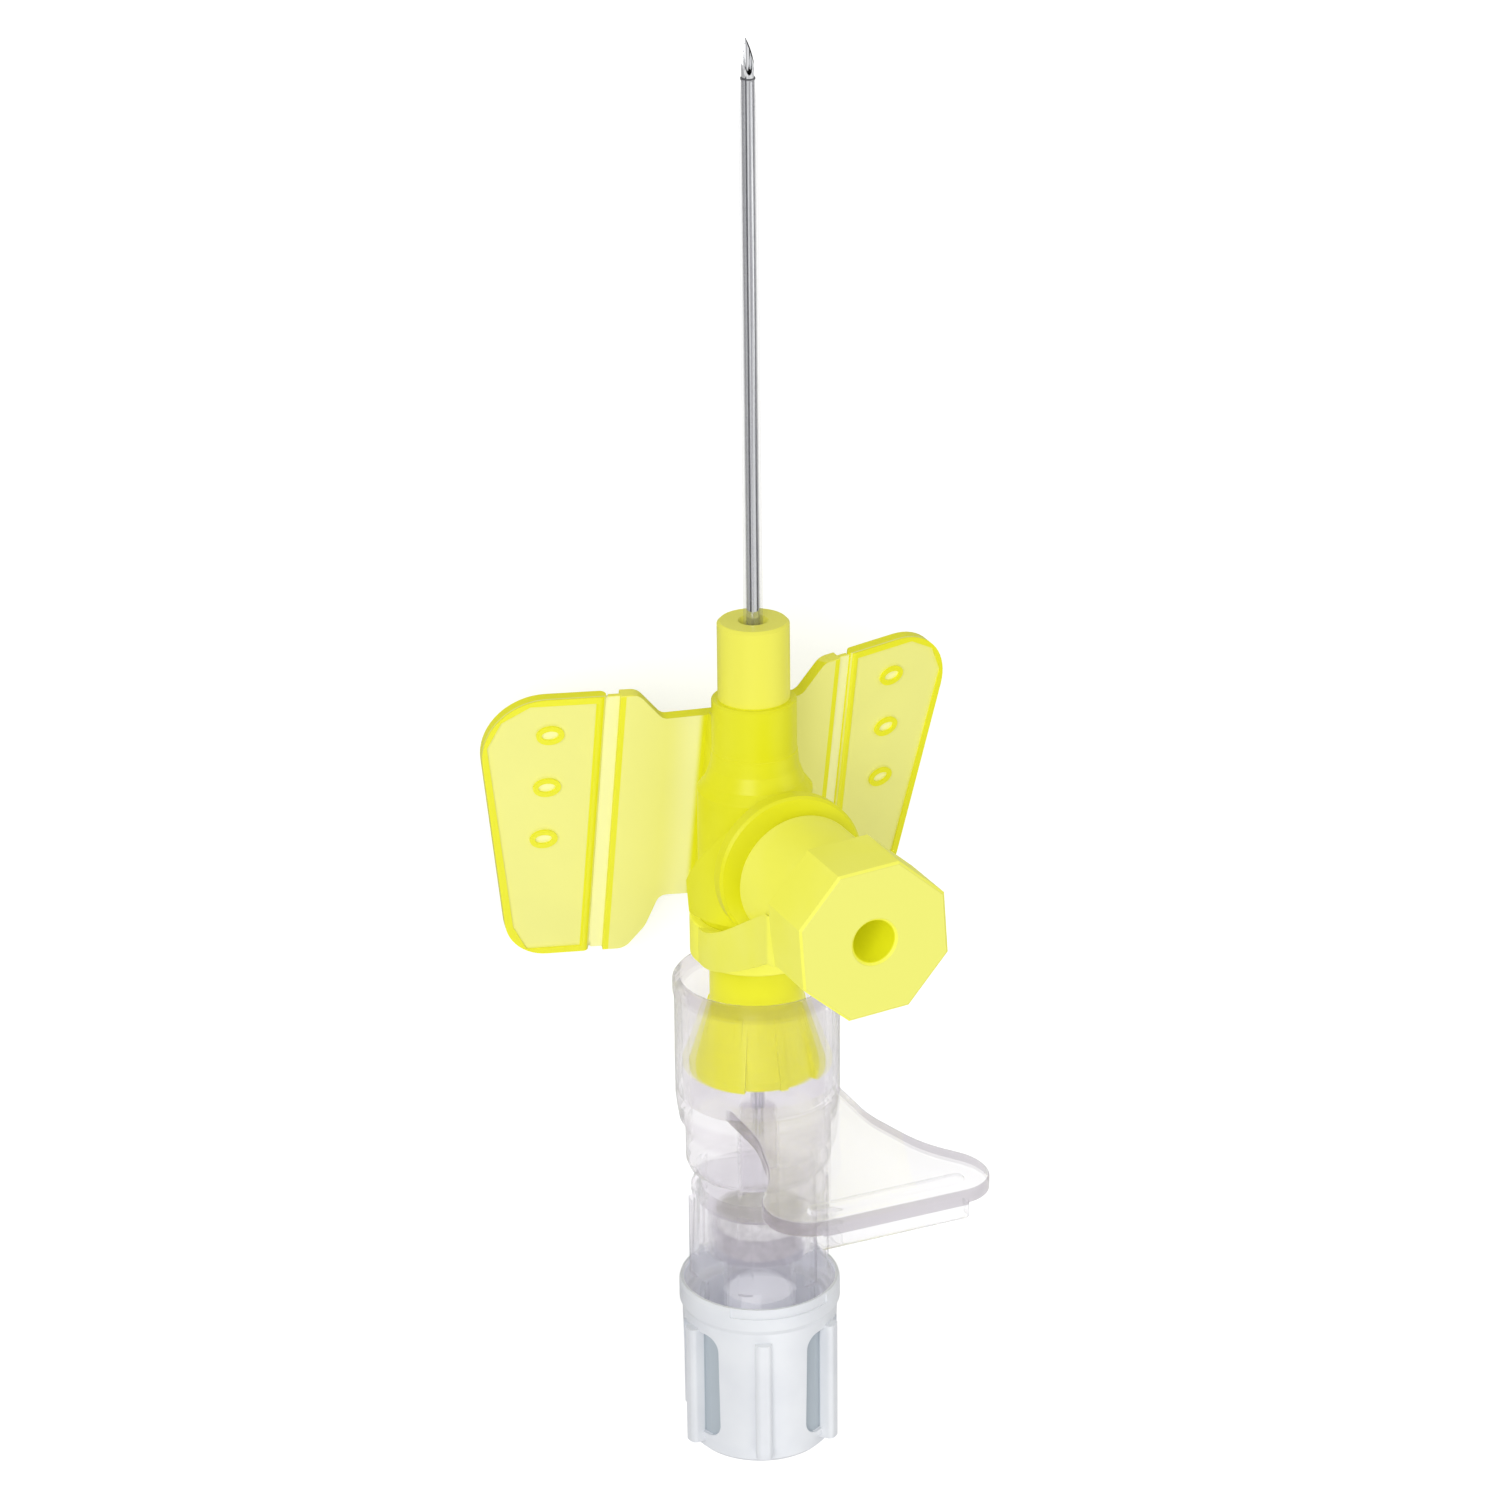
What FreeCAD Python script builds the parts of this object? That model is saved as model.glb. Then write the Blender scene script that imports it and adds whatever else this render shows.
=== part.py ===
import FreeCAD, Part
import Sketcher
import math
import os
import re
from FreeCAD import Placement, Rotation, Vector

# Ported venous cannula, ready for use: a soft catheter on a winged hub with an injection port,
# slid over a steel introducer needle whose clear hub carries a thumb plate, a flash chamber and
# a removable lock stopper. Millimetres. Every piece is built with the needle along +Z from the
# stopper's foot at the origin, the port and the thumb plate to -Y and the wings to X. The whole is
# then laid on its back, on the low corners of the wings and a rib of the stopper, with its port up.

SIZES = {
    # Rest on the table
    "lay_turn": -83.528,
    "lay_back": -41.518,
    "lay_height": 4.582,
    # Fits
    "running_fit": 0.02,
    "seat_gap": 0.05,
    "cone_taper": 0.03,
    # Lock stopper on the end
    "foot_radius": 4.14,
    "foot_height": 0.95,
    "foot_bevel": 0.25,
    "stopper_low_radius": 4.34,
    "stopper_high_radius": 4.54,
    "stopper_rim_low": 8.75,
    "stopper_rim_radius": 4.7,
    "stopper_high": 10.42,
    "stopper_floor": 1.2,
    "stopper_cone_radius": 2.2,
    "stopper_cone_high": 9.4,
    "thread_radius": 3.75,
    "mouth_depth": 1.4,
    "rim_step_angle": 78,
    "rim_step_turn": 156,
    "rim_step_height": 0.6,
    "rim_step_depth": 0.1,
    "grip_rib_count": 6,
    "grip_rib_width": 0.95,
    "grip_rib_radius": 4.97,
    "grip_rib_low": 0.7,
    "grip_rib_high": 8.2,
    "grip_turn": 68,
    "recess_count": 3,
    "recess_half_angle": 25,
    "recess_radius": 4.16,
    "recess_low": 1.35,
    "recess_high": 8.1,
    "recess_corner": 0.9,
    # Flash chamber
    "tail_gap": 0.5,
    "tail_radius": 3.3,
    "tail_lug_height": 1.4,
    "flange_radius": 4.42,
    "flange_height": 1.1,
    "barrel_low": 11.05,
    "barrel_low_radius": 3.92,
    "barrel_high_radius": 3.76,
    "chamber_high": 16.46,
    "chamber_rim_radius": 3.93,
    "chamber_rim_height": 0.42,
    "chamber_cavity_radius": 3.0,
    "chamber_rib_count": 6,
    "chamber_rib_width": 0.9,
    "chamber_rib_radius": 4.2,
    "chamber_rib_turn": -6,
    "vent_plug_radius": 2.45,
    "vent_plug_low": 12.45,
    "vent_plug_high": 15.0,
    "vent_seat_wall": 0.35,
    "vent_seat_high": 13.8,
    # Needle hub
    "spigot_low": 15.3,
    "spigot_radius": 3.3,
    "rear_neck_low": 17.6,
    "rear_neck_radius": 4.2,
    "rear_neck_round": 0.6,
    "sleeve_low": 20.35,
    "sleeve_radius": 4.74,
    "sleeve_round": 1.9,
    "sleeve_rim_low": 28.7,
    "sleeve_rim_radius": 4.82,
    "sleeve_high": 29.75,
    "cup_radius": 4.3,
    "cup_floor": 22.3,
    "needle_cone_high": 31.4,
    "channel_radius": 1.1,
    "channel_high": 21.2,
    # Thumb plate
    "plate_high": 23.5,
    "plate_thick": 0.85,
    "plate_root_half": 3.5,
    "plate_flank_half": 4.65,
    "plate_half": 6.6,
    "plate_wide_reach": 14.7,
    "plate_waist_run": 7.1,
    "plate_flank_run": 2.7,
    "plate_corner_run": 2.0,
    "plate_end_half": 5.3,
    "plate_end_run": 3.45,
    "plate_flank_round": 8,
    "plate_side_round": 3,
    "plate_corner_round": 2.2,
    "plate_edge_round": 0.2,
    "ridge_run": 2.25,
    "ridge_width": 0.95,
    "ridge_height": 0.28,
    "ridge_half": 4.7,
    "end_bar_half": 4.4,
    "end_bar_depth": 0.95,
    "end_bar_width": 1.15,
    "end_bar_proud": 0.25,
    # Introducer needle
    "needle_radius": 0.35,
    "needle_bore": 0.24,
    "needle_low": 19.4,
    "needle_high": 83.97,
    "bevel_length": 2.3,
    "lancet_slope": 2.6,
    "lancet_turn": 30,
    # Catheter tube and its steel ferrule
    "tube_radius": 0.55,
    "tube_bore": 0.405,
    "tube_tip": 81.88,
    "tube_taper": 2.8,
    "tube_tip_wall": 0.04,
    "ferrule_low": 44.25,
    "ferrule_neck": 46.7,
    "ferrule_high": 48.6,
    "ferrule_wall": 0.07,
    "ferrule_mouth": 1.26,
    # Catheter hub
    "hub_low": 23.95,
    "socket_radius": 2.15,
    "socket_high": 32.4,
    "flare_radius": 3.55,
    "flare_high": 28.0,
    "lug_radius": 3.92,
    "lug_angle": 110,
    "hub_rib_count": 8,
    "hub_rib_width": 0.45,
    "hub_rib_height": 0.2,
    "neck_radius": 2.7,
    "neck_high": 31.1,
    "body_radius": 3.25,
    "body_high": 41.3,
    "collar_low": 43.65,
    "collar_radius": 2.39,
    "collar_high": 46.68,
    "nose_radius": 2.03,
    "nose_high": 51.25,
    "nose_mouth_radius": 0.85,
    "throat_radius": 1.35,
    "valve_bore": 1.6,
    "valve_wall": 0.4,
    "valve_low": 35.5,
    "valve_high": 40.7,
    # Port on the hub
    "port_height": 38.11,
    "port_radius": 2.85,
    "port_reach": 10.5,
    "port_bore": 2.14,
    "port_throat": 1.1,
    "port_step": 3.4,
    "disc_radius": 4.35,
    "disc_low": 4.1,
    "disc_high": 4.95,
    "apron_low": 34.4,
    "apron_low_radius": 4.14,
    "apron_high_radius": 4.68,
    "apron_corner": 36.35,
    "apron_top": 41.85,
    # Port cap
    "skirt_low": 5.9,
    "skirt_radius": 3.65,
    "skirt_wall": 0.55,
    "head_low": 11.3,
    "head_high": 15.54,
    "head_radius": 4.67,
    "head_turn": 4,
    "head_bevel": 0.16,
    "cap_plug_length": 2.9,
    "cap_hole_radius": 1.22,
    "cap_hole_depth": 4.6,
    "cap_hole_bevel": 0.18,
    # Strap that keeps the port cap
    "ring_radius": 3.78,
    "ring_low": 31.25,
    "ring_high": 33.6,
    "strap_thick": 0.48,
    "strap_near_side": 3.5,
    "strap_mid_side": 4.12,
    "strap_far_side": 4.16,
    "strap_mid_height": 34.5,
    "strap_far_height": 37.3,
    "strap_mid_reach": 6.0,
    "strap_far_width": 2.9,
    "strap_end_gap": 0.3,
    # Wings
    "wing_pitch": 12.08,
    "wing_droop": 11.08,
    "wing_root_back": 3.87,
    "wing_root_height": 38,
    "wing_thick": 0.7,
    "wing_border": 0.4,
    "wing_recess": 0.12,
    "wing_low": 8.6,
    "wing_high": 8.8,
    "wing_inner_reach": 6.8,
    "film_reach": 7.48,
    "film_thick": 0.22,
    "film_gap": 0.12,
    "wing_low_reach": 12.26,
    "wing_high_reach": 15.12,
    "wing_low_corner": 2.6,
    "wing_high_corner": 3.5,
    "wing_waist_reach": 4.3,
    "wing_waist_high": 7.1,
    "wing_waist_low": 5.0,
    "dimple_reach": 10.73,
    "dimple_first": 6.44,
    "dimple_pitch": 3.5,
    "dimple_half_long": 0.8,
    "dimple_half_wide": 0.6,
    "dimple_wall": 0.3,
    "dimple_height": 0.16,
    "keel_width": 3.6,
    "keel_high": 45.2,
}

doc = FreeCAD.newDocument("venous_cannula")
sheet = doc.addObject("Spreadsheet::Sheet", "Sizes")
for row, (alias, size) in enumerate(SIZES.items(), start=1):
    sheet.set("A%d" % row, alias)
    sheet.set("B%d" % row, str(size))
    sheet.setAlias("B%d" % row, alias)
doc.recompute()


def bound(text):
    """Point each named size in an expression at its cell in the sheet."""
    return re.sub(r"[a-z][a-z_]+", lambda found: "Sizes." + found.group()
                  if found.group() in SIZES else found.group(), text)


def bind(thing, **expressions):
    """Bind properties, written with double underscores for dots."""
    for name, text in expressions.items():
        thing.setExpression(name.replace("__", "."), bound(text))


# Sketches and PartDesign features

def new_body(name):
    return doc.addObject("PartDesign::Body", name)


def new_sketch(body, role, offset=None, turn=None, turn_axis=(0, 1, 0)):
    """A sketch on one of the body's own planes, lifted by offset and turned about turn_axis."""
    sketch = body.newObject("Sketcher::SketchObject", body.Name + "_sketch")
    plane = [item for item in body.Origin.OriginFeatures if item.Role == role][0]
    sketch.AttachmentSupport = (plane, [""])
    sketch.MapMode = "FlatFace"
    if turn:
        sketch.AttachmentOffset = Placement(Vector(), Rotation(Vector(*turn_axis), 10))
        bind(sketch, AttachmentOffset__Rotation__Angle=turn)
    if offset:
        bind(sketch, AttachmentOffset__Base__z=offset)
    return sketch


def outline(sketch, corners):
    """A closed outline whose corners are each placed from the origin by two expressions."""
    count = len(corners)
    start = [Vector(8 + 5 * math.cos(2 * math.pi * i / count),
                    8 + 5 * math.sin(2 * math.pi * i / count), 0) for i in range(count)]
    for i in range(count):
        sketch.addGeometry(Part.LineSegment(start[i], start[(i + 1) % count]), False)
    for i in range(count):
        sketch.addConstraint(Sketcher.Constraint("Coincident", i, 2, (i + 1) % count, 1))
    for i, corner in enumerate(corners):
        for kind, axis, text in zip(("DistanceX", "DistanceY"), (-2, -1), corner):
            if text == "0":
                sketch.addConstraint(Sketcher.Constraint("PointOnObject", i, 1, axis))
                continue
            k = sketch.addConstraint(Sketcher.Constraint(kind, -1, 1, i, 1, 1.0))
            sketch.setExpression("Constraints[%d]" % k, bound(text))
    return sketch


def circle(sketch, x, y, radius):
    i = sketch.addGeometry(Part.Circle(Vector(3, 4, 0), Vector(0, 0, 1), 1.0), False)
    k = sketch.addConstraint(Sketcher.Constraint("DistanceX", -1, 1, i, 3, 3.0))
    sketch.setExpression("Constraints[%d]" % k, bound(x))
    k = sketch.addConstraint(Sketcher.Constraint("DistanceY", -1, 1, i, 3, 4.0))
    sketch.setExpression("Constraints[%d]" % k, bound(y))
    k = sketch.addConstraint(Sketcher.Constraint("Radius", i, 1.0))
    sketch.setExpression("Constraints[%d]" % k, bound(radius))


def oval(sketch, x, y, half_long, half_wide, near):
    """An ellipse that lies along the sketch's X, drawn near its place and then bound to it."""
    i = sketch.addGeometry(Part.Ellipse(near + Vector(0.8, 0, 0), near + Vector(0, 0.4, 0), near), False)
    sketch.exposeInternalGeometry(i)
    sketch.addConstraint(Sketcher.Constraint("Horizontal", i + 1))
    for line, start, text in ((i + 1, 1.6, half_long), (i + 2, 0.8, half_wide)):
        k = sketch.addConstraint(Sketcher.Constraint("Distance", line, start))
        sketch.setExpression("Constraints[%d]" % k, bound("2 * (%s)" % text))
    for kind, start, text in (("DistanceX", near.x, x), ("DistanceY", near.y, y)):
        k = sketch.addConstraint(Sketcher.Constraint(kind, -1, 1, i, 3, start))
        sketch.setExpression("Constraints[%d]" % k, bound(text))


def turned(name, profile):
    """A body of revolution about Z from (radius, height) corners."""
    body = new_body(name)
    sketch = outline(new_sketch(body, "XZ_Plane"), profile)
    turn = body.newObject("PartDesign::Revolution", name + "_turn")
    turn.Profile = sketch
    turn.ReferenceAxis = (sketch, ["V_Axis"])
    turn.Angle = 360
    doc.recompute()
    return body


def pad(body, sketch, length, both_ways=False):
    feature = body.newObject("PartDesign::Pad", body.Name + "_pad")
    feature.Profile = sketch
    bind(feature, Length=length)
    if both_ways:
        feature.SideType = "Symmetric"
    doc.recompute()
    return feature


def pocket(body, sketch, length, both_ways=False, other_way=False):
    feature = body.newObject("PartDesign::Pocket", body.Name + "_pocket")
    feature.Profile = sketch
    bind(feature, Length=length)
    feature.Reversed = other_way
    if both_ways:
        feature.SideType = "Symmetric"
    doc.recompute()
    return feature


def polar(body, features, count):
    """Repeat features evenly about the body's Z axis."""
    pattern = body.newObject("PartDesign::PolarPattern", body.Name + "_pattern")
    pattern.Originals = features
    axis = [item for item in body.Origin.OriginFeatures if item.Role == "Z_Axis"][0]
    pattern.Axis = (axis, [""])
    pattern.Angle = 360
    bind(pattern, Occurrences=count)
    body.Tip = pattern
    doc.recompute()
    return pattern


def fillet(body, chosen, radius):
    """Round the tip's edges that the test picks."""
    base = body.Tip
    names = ["Edge%d" % (i + 1) for i, edge in enumerate(base.Shape.Edges) if chosen(edge)]
    feature = body.newObject("PartDesign::Fillet", body.Name + "_fillet")
    feature.Base = (base, names)
    bind(feature, Radius=radius)
    doc.recompute()
    return feature


# Part primitives and booleans

def cylinder(name, radius, low, high, angle=None, turn=None):
    item = doc.addObject("Part::Cylinder", name)
    bind(item, Radius=radius, Height="(%s) - (%s)" % (high, low), Placement__Base__z=low)
    sector(item, angle, turn)
    return item


def cone(name, low_radius, high_radius, low, high, angle=None, turn=None):
    item = doc.addObject("Part::Cone", name)
    bind(item, Radius1=low_radius, Radius2=high_radius, Height="(%s) - (%s)" % (high, low),
         Placement__Base__z=low)
    sector(item, angle, turn)
    return item


def sector(item, angle, turn):
    if angle:
        bind(item, Angle=angle)
    if turn:
        item.Placement = Placement(Vector(), Rotation(Vector(0, 0, 1), 10))
        bind(item, Placement__Rotation__Angle=turn)


def fuse(name, items):
    item = doc.addObject("Part::MultiFuse", name)
    item.Shapes = items
    item.Refine = True
    doc.recompute()
    return item


def cut(name, base, tool):
    item = doc.addObject("Part::Cut", name)
    item.Base = base
    item.Tool = tool
    item.Refine = True
    doc.recompute()
    return item


def common(name, base, tool):
    item = doc.addObject("Part::Common", name)
    item.Base = base
    item.Tool = tool
    doc.recompute()
    return item


PORT_PLACE = "placement(vector(0; 0; port_height); rotationx(90))"


def face_port(item):
    """Turn a piece built along Z so that it runs out along the port, to -Y."""
    bind(item, Placement=PORT_PLACE)
    doc.recompute()


def is_line_along(edge, direction):
    if edge.Curve.TypeId != "Part::GeomLine":
        return False
    return abs(edge.tangentAt(edge.FirstParameter).dot(Vector(*direction))) > 0.999


def size(name):
    return SIZES[name]


nodes = []


def keep(item, label, place="placement(vector(0; 0; 0); rotationz(0))"):
    """Name a finished piece and lay it down with the rest, from its place on the upright needle."""
    item.Label = label
    bind(item, Placement="placement(vector(0; lay_back; lay_height); rotationx(lay_turn)) * " + place)
    nodes.append(item)


# Lock stopper: a threaded skirt round a solid 6 percent cone, ribbed for the fingers

stopper = turned("stopper_form", [
    ("0", "0"),
    ("foot_radius - foot_bevel", "0"),
    ("foot_radius", "foot_bevel"),
    ("foot_radius", "foot_height"),
    ("stopper_low_radius", "foot_height + foot_bevel / 4"),
    ("stopper_high_radius", "stopper_rim_low"),
    ("stopper_rim_radius", "stopper_rim_low + 0.3"),
    ("stopper_rim_radius", "stopper_high - 0.25"),
    ("stopper_rim_radius - 0.08", "stopper_high"),
    ("flange_radius + seat_gap", "stopper_high"),
    ("flange_radius + seat_gap", "stopper_high - mouth_depth"),
    ("thread_radius", "stopper_high - mouth_depth - 0.2"),
    ("thread_radius", "stopper_floor"),
    ("stopper_cone_radius", "stopper_floor"),
    ("stopper_cone_radius - cone_taper * (stopper_cone_high - stopper_floor)", "stopper_cone_high"),
    ("0", "stopper_cone_high"),
])
half = "tan(recess_half_angle)"
recess_floor = [("recess_radius * cos(recess_half_angle * %g)" % share,
                 "recess_radius * sin(recess_half_angle * %g)" % share) for share in (1, 0.5, 0, -0.5, -1)]
window = outline(new_sketch(stopper, "XY_Plane", "recess_low"), recess_floor + [
    ("foot_radius + 1.5", "-(foot_radius + 1.5) * " + half),
    ("foot_radius + 1.5", "(foot_radius + 1.5) * " + half),
])
cut_window = pocket(stopper, window, "recess_high - recess_low", other_way=True)
polar(stopper, [cut_window], "recess_count")


def is_recess_corner(edge):
    """Pick the short radial edges at the four corners of each recess."""
    level = edge.CenterOfMass.z
    return edge.Curve.TypeId == "Part::GeomLine" and edge.BoundBox.ZLength < 0.001 \
        and min(abs(level - size("recess_low")), abs(level - size("recess_high"))) < 0.001 \
        and abs(edge.tangentAt(0).dot(edge.CenterOfMass) / math.hypot(*edge.CenterOfMass[:2])) > 0.99


fillet(stopper, is_recess_corner, "recess_corner")
rib = outline(new_sketch(stopper, "XY_Plane", "grip_rib_low"), [
    ("recess_radius - 0.12", "-grip_rib_width / 2"),
    ("grip_rib_radius", "-grip_rib_width / 2"),
    ("grip_rib_radius", "grip_rib_width / 2"),
    ("recess_radius - 0.12", "grip_rib_width / 2"),
])
one_rib = pad(stopper, rib, "grip_rib_high - grip_rib_low")
polar(stopper, [one_rib], "grip_rib_count")


def is_rib_edge(edge, radius):
    box = edge.BoundBox
    middle = edge.CenterOfMass
    return is_line_along(edge, (0, 0, 1)) and math.hypot(middle.x, middle.y) > radius - 0.02 \
        and box.ZLength > 2


fillet(stopper, lambda edge: is_rib_edge(edge, size("grip_rib_radius")), "grip_rib_width / 3")
rim_step = cut("rim_step", cylinder(
    "rim_step_outside", "stopper_rim_radius + 1", "stopper_high - rim_step_height", "stopper_high + 1",
    "rim_step_angle", "rim_step_turn"), cylinder(
    "rim_step_inside", "stopper_rim_radius - rim_step_depth", "stopper_high - 1", "stopper_high + 2"))
keep(cut("end_stopper_piece", stopper, rim_step), "end_stopper",
     "placement(vector(0; 0; 0); rotationz(grip_turn))")

# Flash chamber: tail socket, seating flange, ribbed clear barrel and the seat of the vent plug

tail_low = "stopper_floor + tail_gap"
tail_bore = "stopper_cone_radius + running_fit - cone_taper * (%s - stopper_floor)"
chamber = turned("chamber_form", [
    (tail_bore % ("(" + tail_low + ")"), tail_low),
    ("tail_radius", tail_low),
    ("tail_radius", "stopper_high - mouth_depth + seat_gap"),
    ("flange_radius", "stopper_high - mouth_depth + seat_gap"),
    ("flange_radius", "stopper_high - mouth_depth + seat_gap + flange_height"),
    ("barrel_low_radius", "barrel_low"),
    ("barrel_high_radius", "chamber_high - chamber_rim_height - 0.12"),
    ("chamber_rim_radius", "chamber_high - chamber_rim_height"),
    ("chamber_rim_radius", "chamber_high - 0.1"),
    ("chamber_rim_radius - 0.1", "chamber_high"),
    ("spigot_radius + running_fit", "chamber_high"),
    ("spigot_radius + running_fit", "spigot_low"),
    ("chamber_cavity_radius", "spigot_low"),
    ("chamber_cavity_radius", "vent_plug_low - 0.15"),
    ("vent_plug_radius + running_fit + vent_seat_wall", "vent_plug_low - 0.15"),
    ("vent_plug_radius + running_fit + vent_seat_wall", "vent_seat_high"),
    ("vent_plug_radius + running_fit", "vent_seat_high"),
    ("vent_plug_radius + running_fit", "vent_plug_low"),
    (tail_bore % "vent_plug_low", "vent_plug_low"),
])
rib = outline(new_sketch(chamber, "XY_Plane", "barrel_low"), [
    ("chamber_cavity_radius + 0.3", "-chamber_rib_width / 2"),
    ("chamber_rib_radius", "-chamber_rib_width / 2"),
    ("chamber_rib_radius", "chamber_rib_width / 2"),
    ("chamber_cavity_radius + 0.3", "chamber_rib_width / 2"),
])
one_rib = pad(chamber, rib, "chamber_high - chamber_rim_height - barrel_low")
polar(chamber, [one_rib], "chamber_rib_count")
fillet(chamber, lambda edge: is_rib_edge(edge, size("chamber_rib_radius")), "chamber_rib_width / 4")
chamber.Placement = Placement(Vector(), Rotation(Vector(0, 0, 1), 10))
bind(chamber, Placement__Rotation__Angle="chamber_rib_turn")
tail_lugs = [
    cylinder("tail_lug_%d" % i, "thread_radius - 0.1", tail_low,
             tail_low + " + tail_lug_height", "80", "%d" % (50 + 180 * i))
    for i in range(2)
]
lug_room = cylinder("tail_lug_room", "tail_radius - 0.3", tail_low + " - 1", "stopper_high")
lugs = cut("tail_lugs", fuse("tail_lug_pair", tail_lugs), lug_room)
keep(fuse("chamber_piece", [chamber, lugs]), "flash_chamber")

# Porous vent plug standing in its seat on the chamber's floor

keep(turned("vent_plug_form", [
    ("0", "vent_plug_low"),
    ("vent_plug_radius", "vent_plug_low"),
    ("vent_plug_radius", "vent_plug_high - 0.2"),
    ("vent_plug_radius - 0.2", "vent_plug_high"),
    ("0", "vent_plug_high"),
]), "vent_plug")

# Needle hub: rear spigot, protective sleeve, 6 percent cone and thumb plate in one moulding

cone_base = "socket_radius - running_fit + cone_taper * (hub_low - cup_floor)"
cone_tip = "socket_radius - running_fit - cone_taper * (needle_cone_high - hub_low)"
hub_form = turned("needle_hub_form", [
    ("channel_radius", "spigot_low"),
    ("spigot_radius", "spigot_low"),
    ("spigot_radius", "rear_neck_low"),
    ("rear_neck_radius - rear_neck_round", "rear_neck_low"),
    ("rear_neck_radius - rear_neck_round * 0.3", "rear_neck_low + rear_neck_round * 0.3"),
    ("rear_neck_radius", "rear_neck_low + rear_neck_round"),
    ("rear_neck_radius", "sleeve_low"),
    ("sleeve_radius - (sleeve_radius - rear_neck_radius) * 0.35", "sleeve_low + sleeve_round * 0.3"),
    ("sleeve_radius", "sleeve_low + sleeve_round"),
    ("sleeve_radius", "sleeve_rim_low"),
    ("sleeve_rim_radius", "sleeve_rim_low + 0.15"),
    ("sleeve_rim_radius", "sleeve_high - 0.2"),
    ("sleeve_rim_radius - 0.15", "sleeve_high"),
    ("cup_radius + 0.1", "sleeve_high"),
    ("cup_radius", "sleeve_high - 0.15"),
    ("cup_radius", "cup_floor"),
    (cone_base, "cup_floor"),
    (cone_tip, "needle_cone_high"),
    ("needle_radius + running_fit", "needle_cone_high"),
    ("needle_radius + running_fit", "channel_high"),
    ("channel_radius", "channel_high"),
])

waist_reach = "plate_wide_reach - plate_waist_run"
flank_reach = "plate_wide_reach - plate_flank_run"
corner_reach = "plate_wide_reach + plate_corner_run"
end_reach = "plate_wide_reach + plate_end_run"
ridge_reach = "plate_wide_reach + ridge_run"
plate = new_body("thumb_plate_form")
right_flank = [
    ("plate_root_half", "-2"),
    ("plate_root_half", "-(%s)" % waist_reach),
    ("plate_flank_half", "-(%s)" % flank_reach),
    ("plate_half", "-plate_wide_reach"),
    ("plate_half", "-(%s)" % corner_reach),
    ("plate_end_half", "-(%s)" % end_reach),
]
left_flank = [("-" + x, y) for x, y in reversed(right_flank)]
pad(plate, outline(new_sketch(plate, "XY_Plane", "plate_high - plate_thick"),
                   left_flank + right_flank), "plate_thick")


def upright_at(reach):
    """Pick the plate's upright corner edges at one reach."""
    return lambda edge: is_line_along(edge, (0, 0, 1)) and abs(edge.CenterOfMass.y + reach) < 0.01


wide = size("plate_wide_reach")
fillet(plate, upright_at(wide - size("plate_waist_run")), "plate_flank_round")
fillet(plate, upright_at(wide - size("plate_flank_run")), "plate_flank_round")
fillet(plate, upright_at(wide), "plate_side_round")
fillet(plate, upright_at(wide + size("plate_corner_run")), "plate_corner_round")
fillet(plate, upright_at(wide + size("plate_end_run")), "plate_corner_round")
fillet(plate, lambda edge: abs(edge.BoundBox.ZMin - size("plate_high")) < 0.001
       and edge.CenterOfMass.y < -2.1, "plate_edge_round")

ridge = new_body("ridge_form")
ridge_outline = outline(new_sketch(ridge, "XY_Plane", "plate_high - 0.1"), [
    ("-ridge_half", "-(%s) - ridge_width / 2" % ridge_reach),
    ("ridge_half", "-(%s) - ridge_width / 2" % ridge_reach),
    ("ridge_half", "-(%s) + ridge_width / 2" % ridge_reach),
    ("-ridge_half", "-(%s) + ridge_width / 2" % ridge_reach),
])
pad(ridge, ridge_outline, "ridge_height + 0.1")
fillet(ridge, lambda edge: is_line_along(edge, (0, 0, 1)), "ridge_width * 0.45")
fillet(ridge, lambda edge: edge.BoundBox.ZMin > size("plate_high"), "ridge_height * 0.6")

end_bar = new_body("end_bar_form")
bar_outline = outline(new_sketch(end_bar, "XY_Plane", "plate_high - plate_thick - end_bar_depth"), [
    ("-end_bar_half", "-(%s) - end_bar_proud" % end_reach),
    ("end_bar_half", "-(%s) - end_bar_proud" % end_reach),
    ("end_bar_half", "-(%s) - end_bar_proud + end_bar_width" % end_reach),
    ("-end_bar_half", "-(%s) - end_bar_proud + end_bar_width" % end_reach),
])
pad(end_bar, bar_outline, "end_bar_depth + plate_thick / 2")
fillet(end_bar, lambda edge: is_line_along(edge, (1, 0, 0)), "end_bar_width * 0.4")
fillet(end_bar, lambda edge: is_line_along(edge, (0, 1, 0)) or is_line_along(edge, (0, 0, 1)), "0.15")
cup_room = cylinder("cup_room", "cup_radius + 0.1", "cup_floor - 1", "sleeve_high")
thumb = cut("thumb_plate_trim", fuse("thumb_plate_parts", [plate, ridge, end_bar]), cup_room)
keep(fuse("needle_hub_piece", [hub_form, thumb]), "needle_hub")

# Introducer needle: steel tube with a bevel that faces the port side

needle = turned("needle_form", [
    ("needle_bore", "needle_low"),
    ("needle_radius", "needle_low"),
    ("needle_radius", "needle_high"),
    ("needle_bore", "needle_high"),
])
bevel = outline(new_sketch(needle, "YZ_Plane"), [
    ("needle_radius", "needle_high"),
    ("-3 * needle_radius", "needle_high - 2 * bevel_length"),
    ("-3 * needle_radius", "needle_high + 1"),
    ("needle_radius", "needle_high + 1"),
])
pocket(needle, bevel, "4 * needle_radius", both_ways=True)
for side in (1, -1):
    start = "needle_radius * cos(lancet_turn)"
    lancet = outline(new_sketch(needle, "YZ_Plane", None, "lancet_turn", (0, side, 0)), [
        (start, "needle_high"),
        ("-3 * needle_radius", "needle_high - lancet_slope * (%s + 3 * needle_radius)" % start),
        ("-3 * needle_radius", "needle_high + 1"),
        (start, "needle_high + 1"),
    ])
    pocket(needle, lancet, "4 * needle_radius", both_ways=True)
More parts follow.
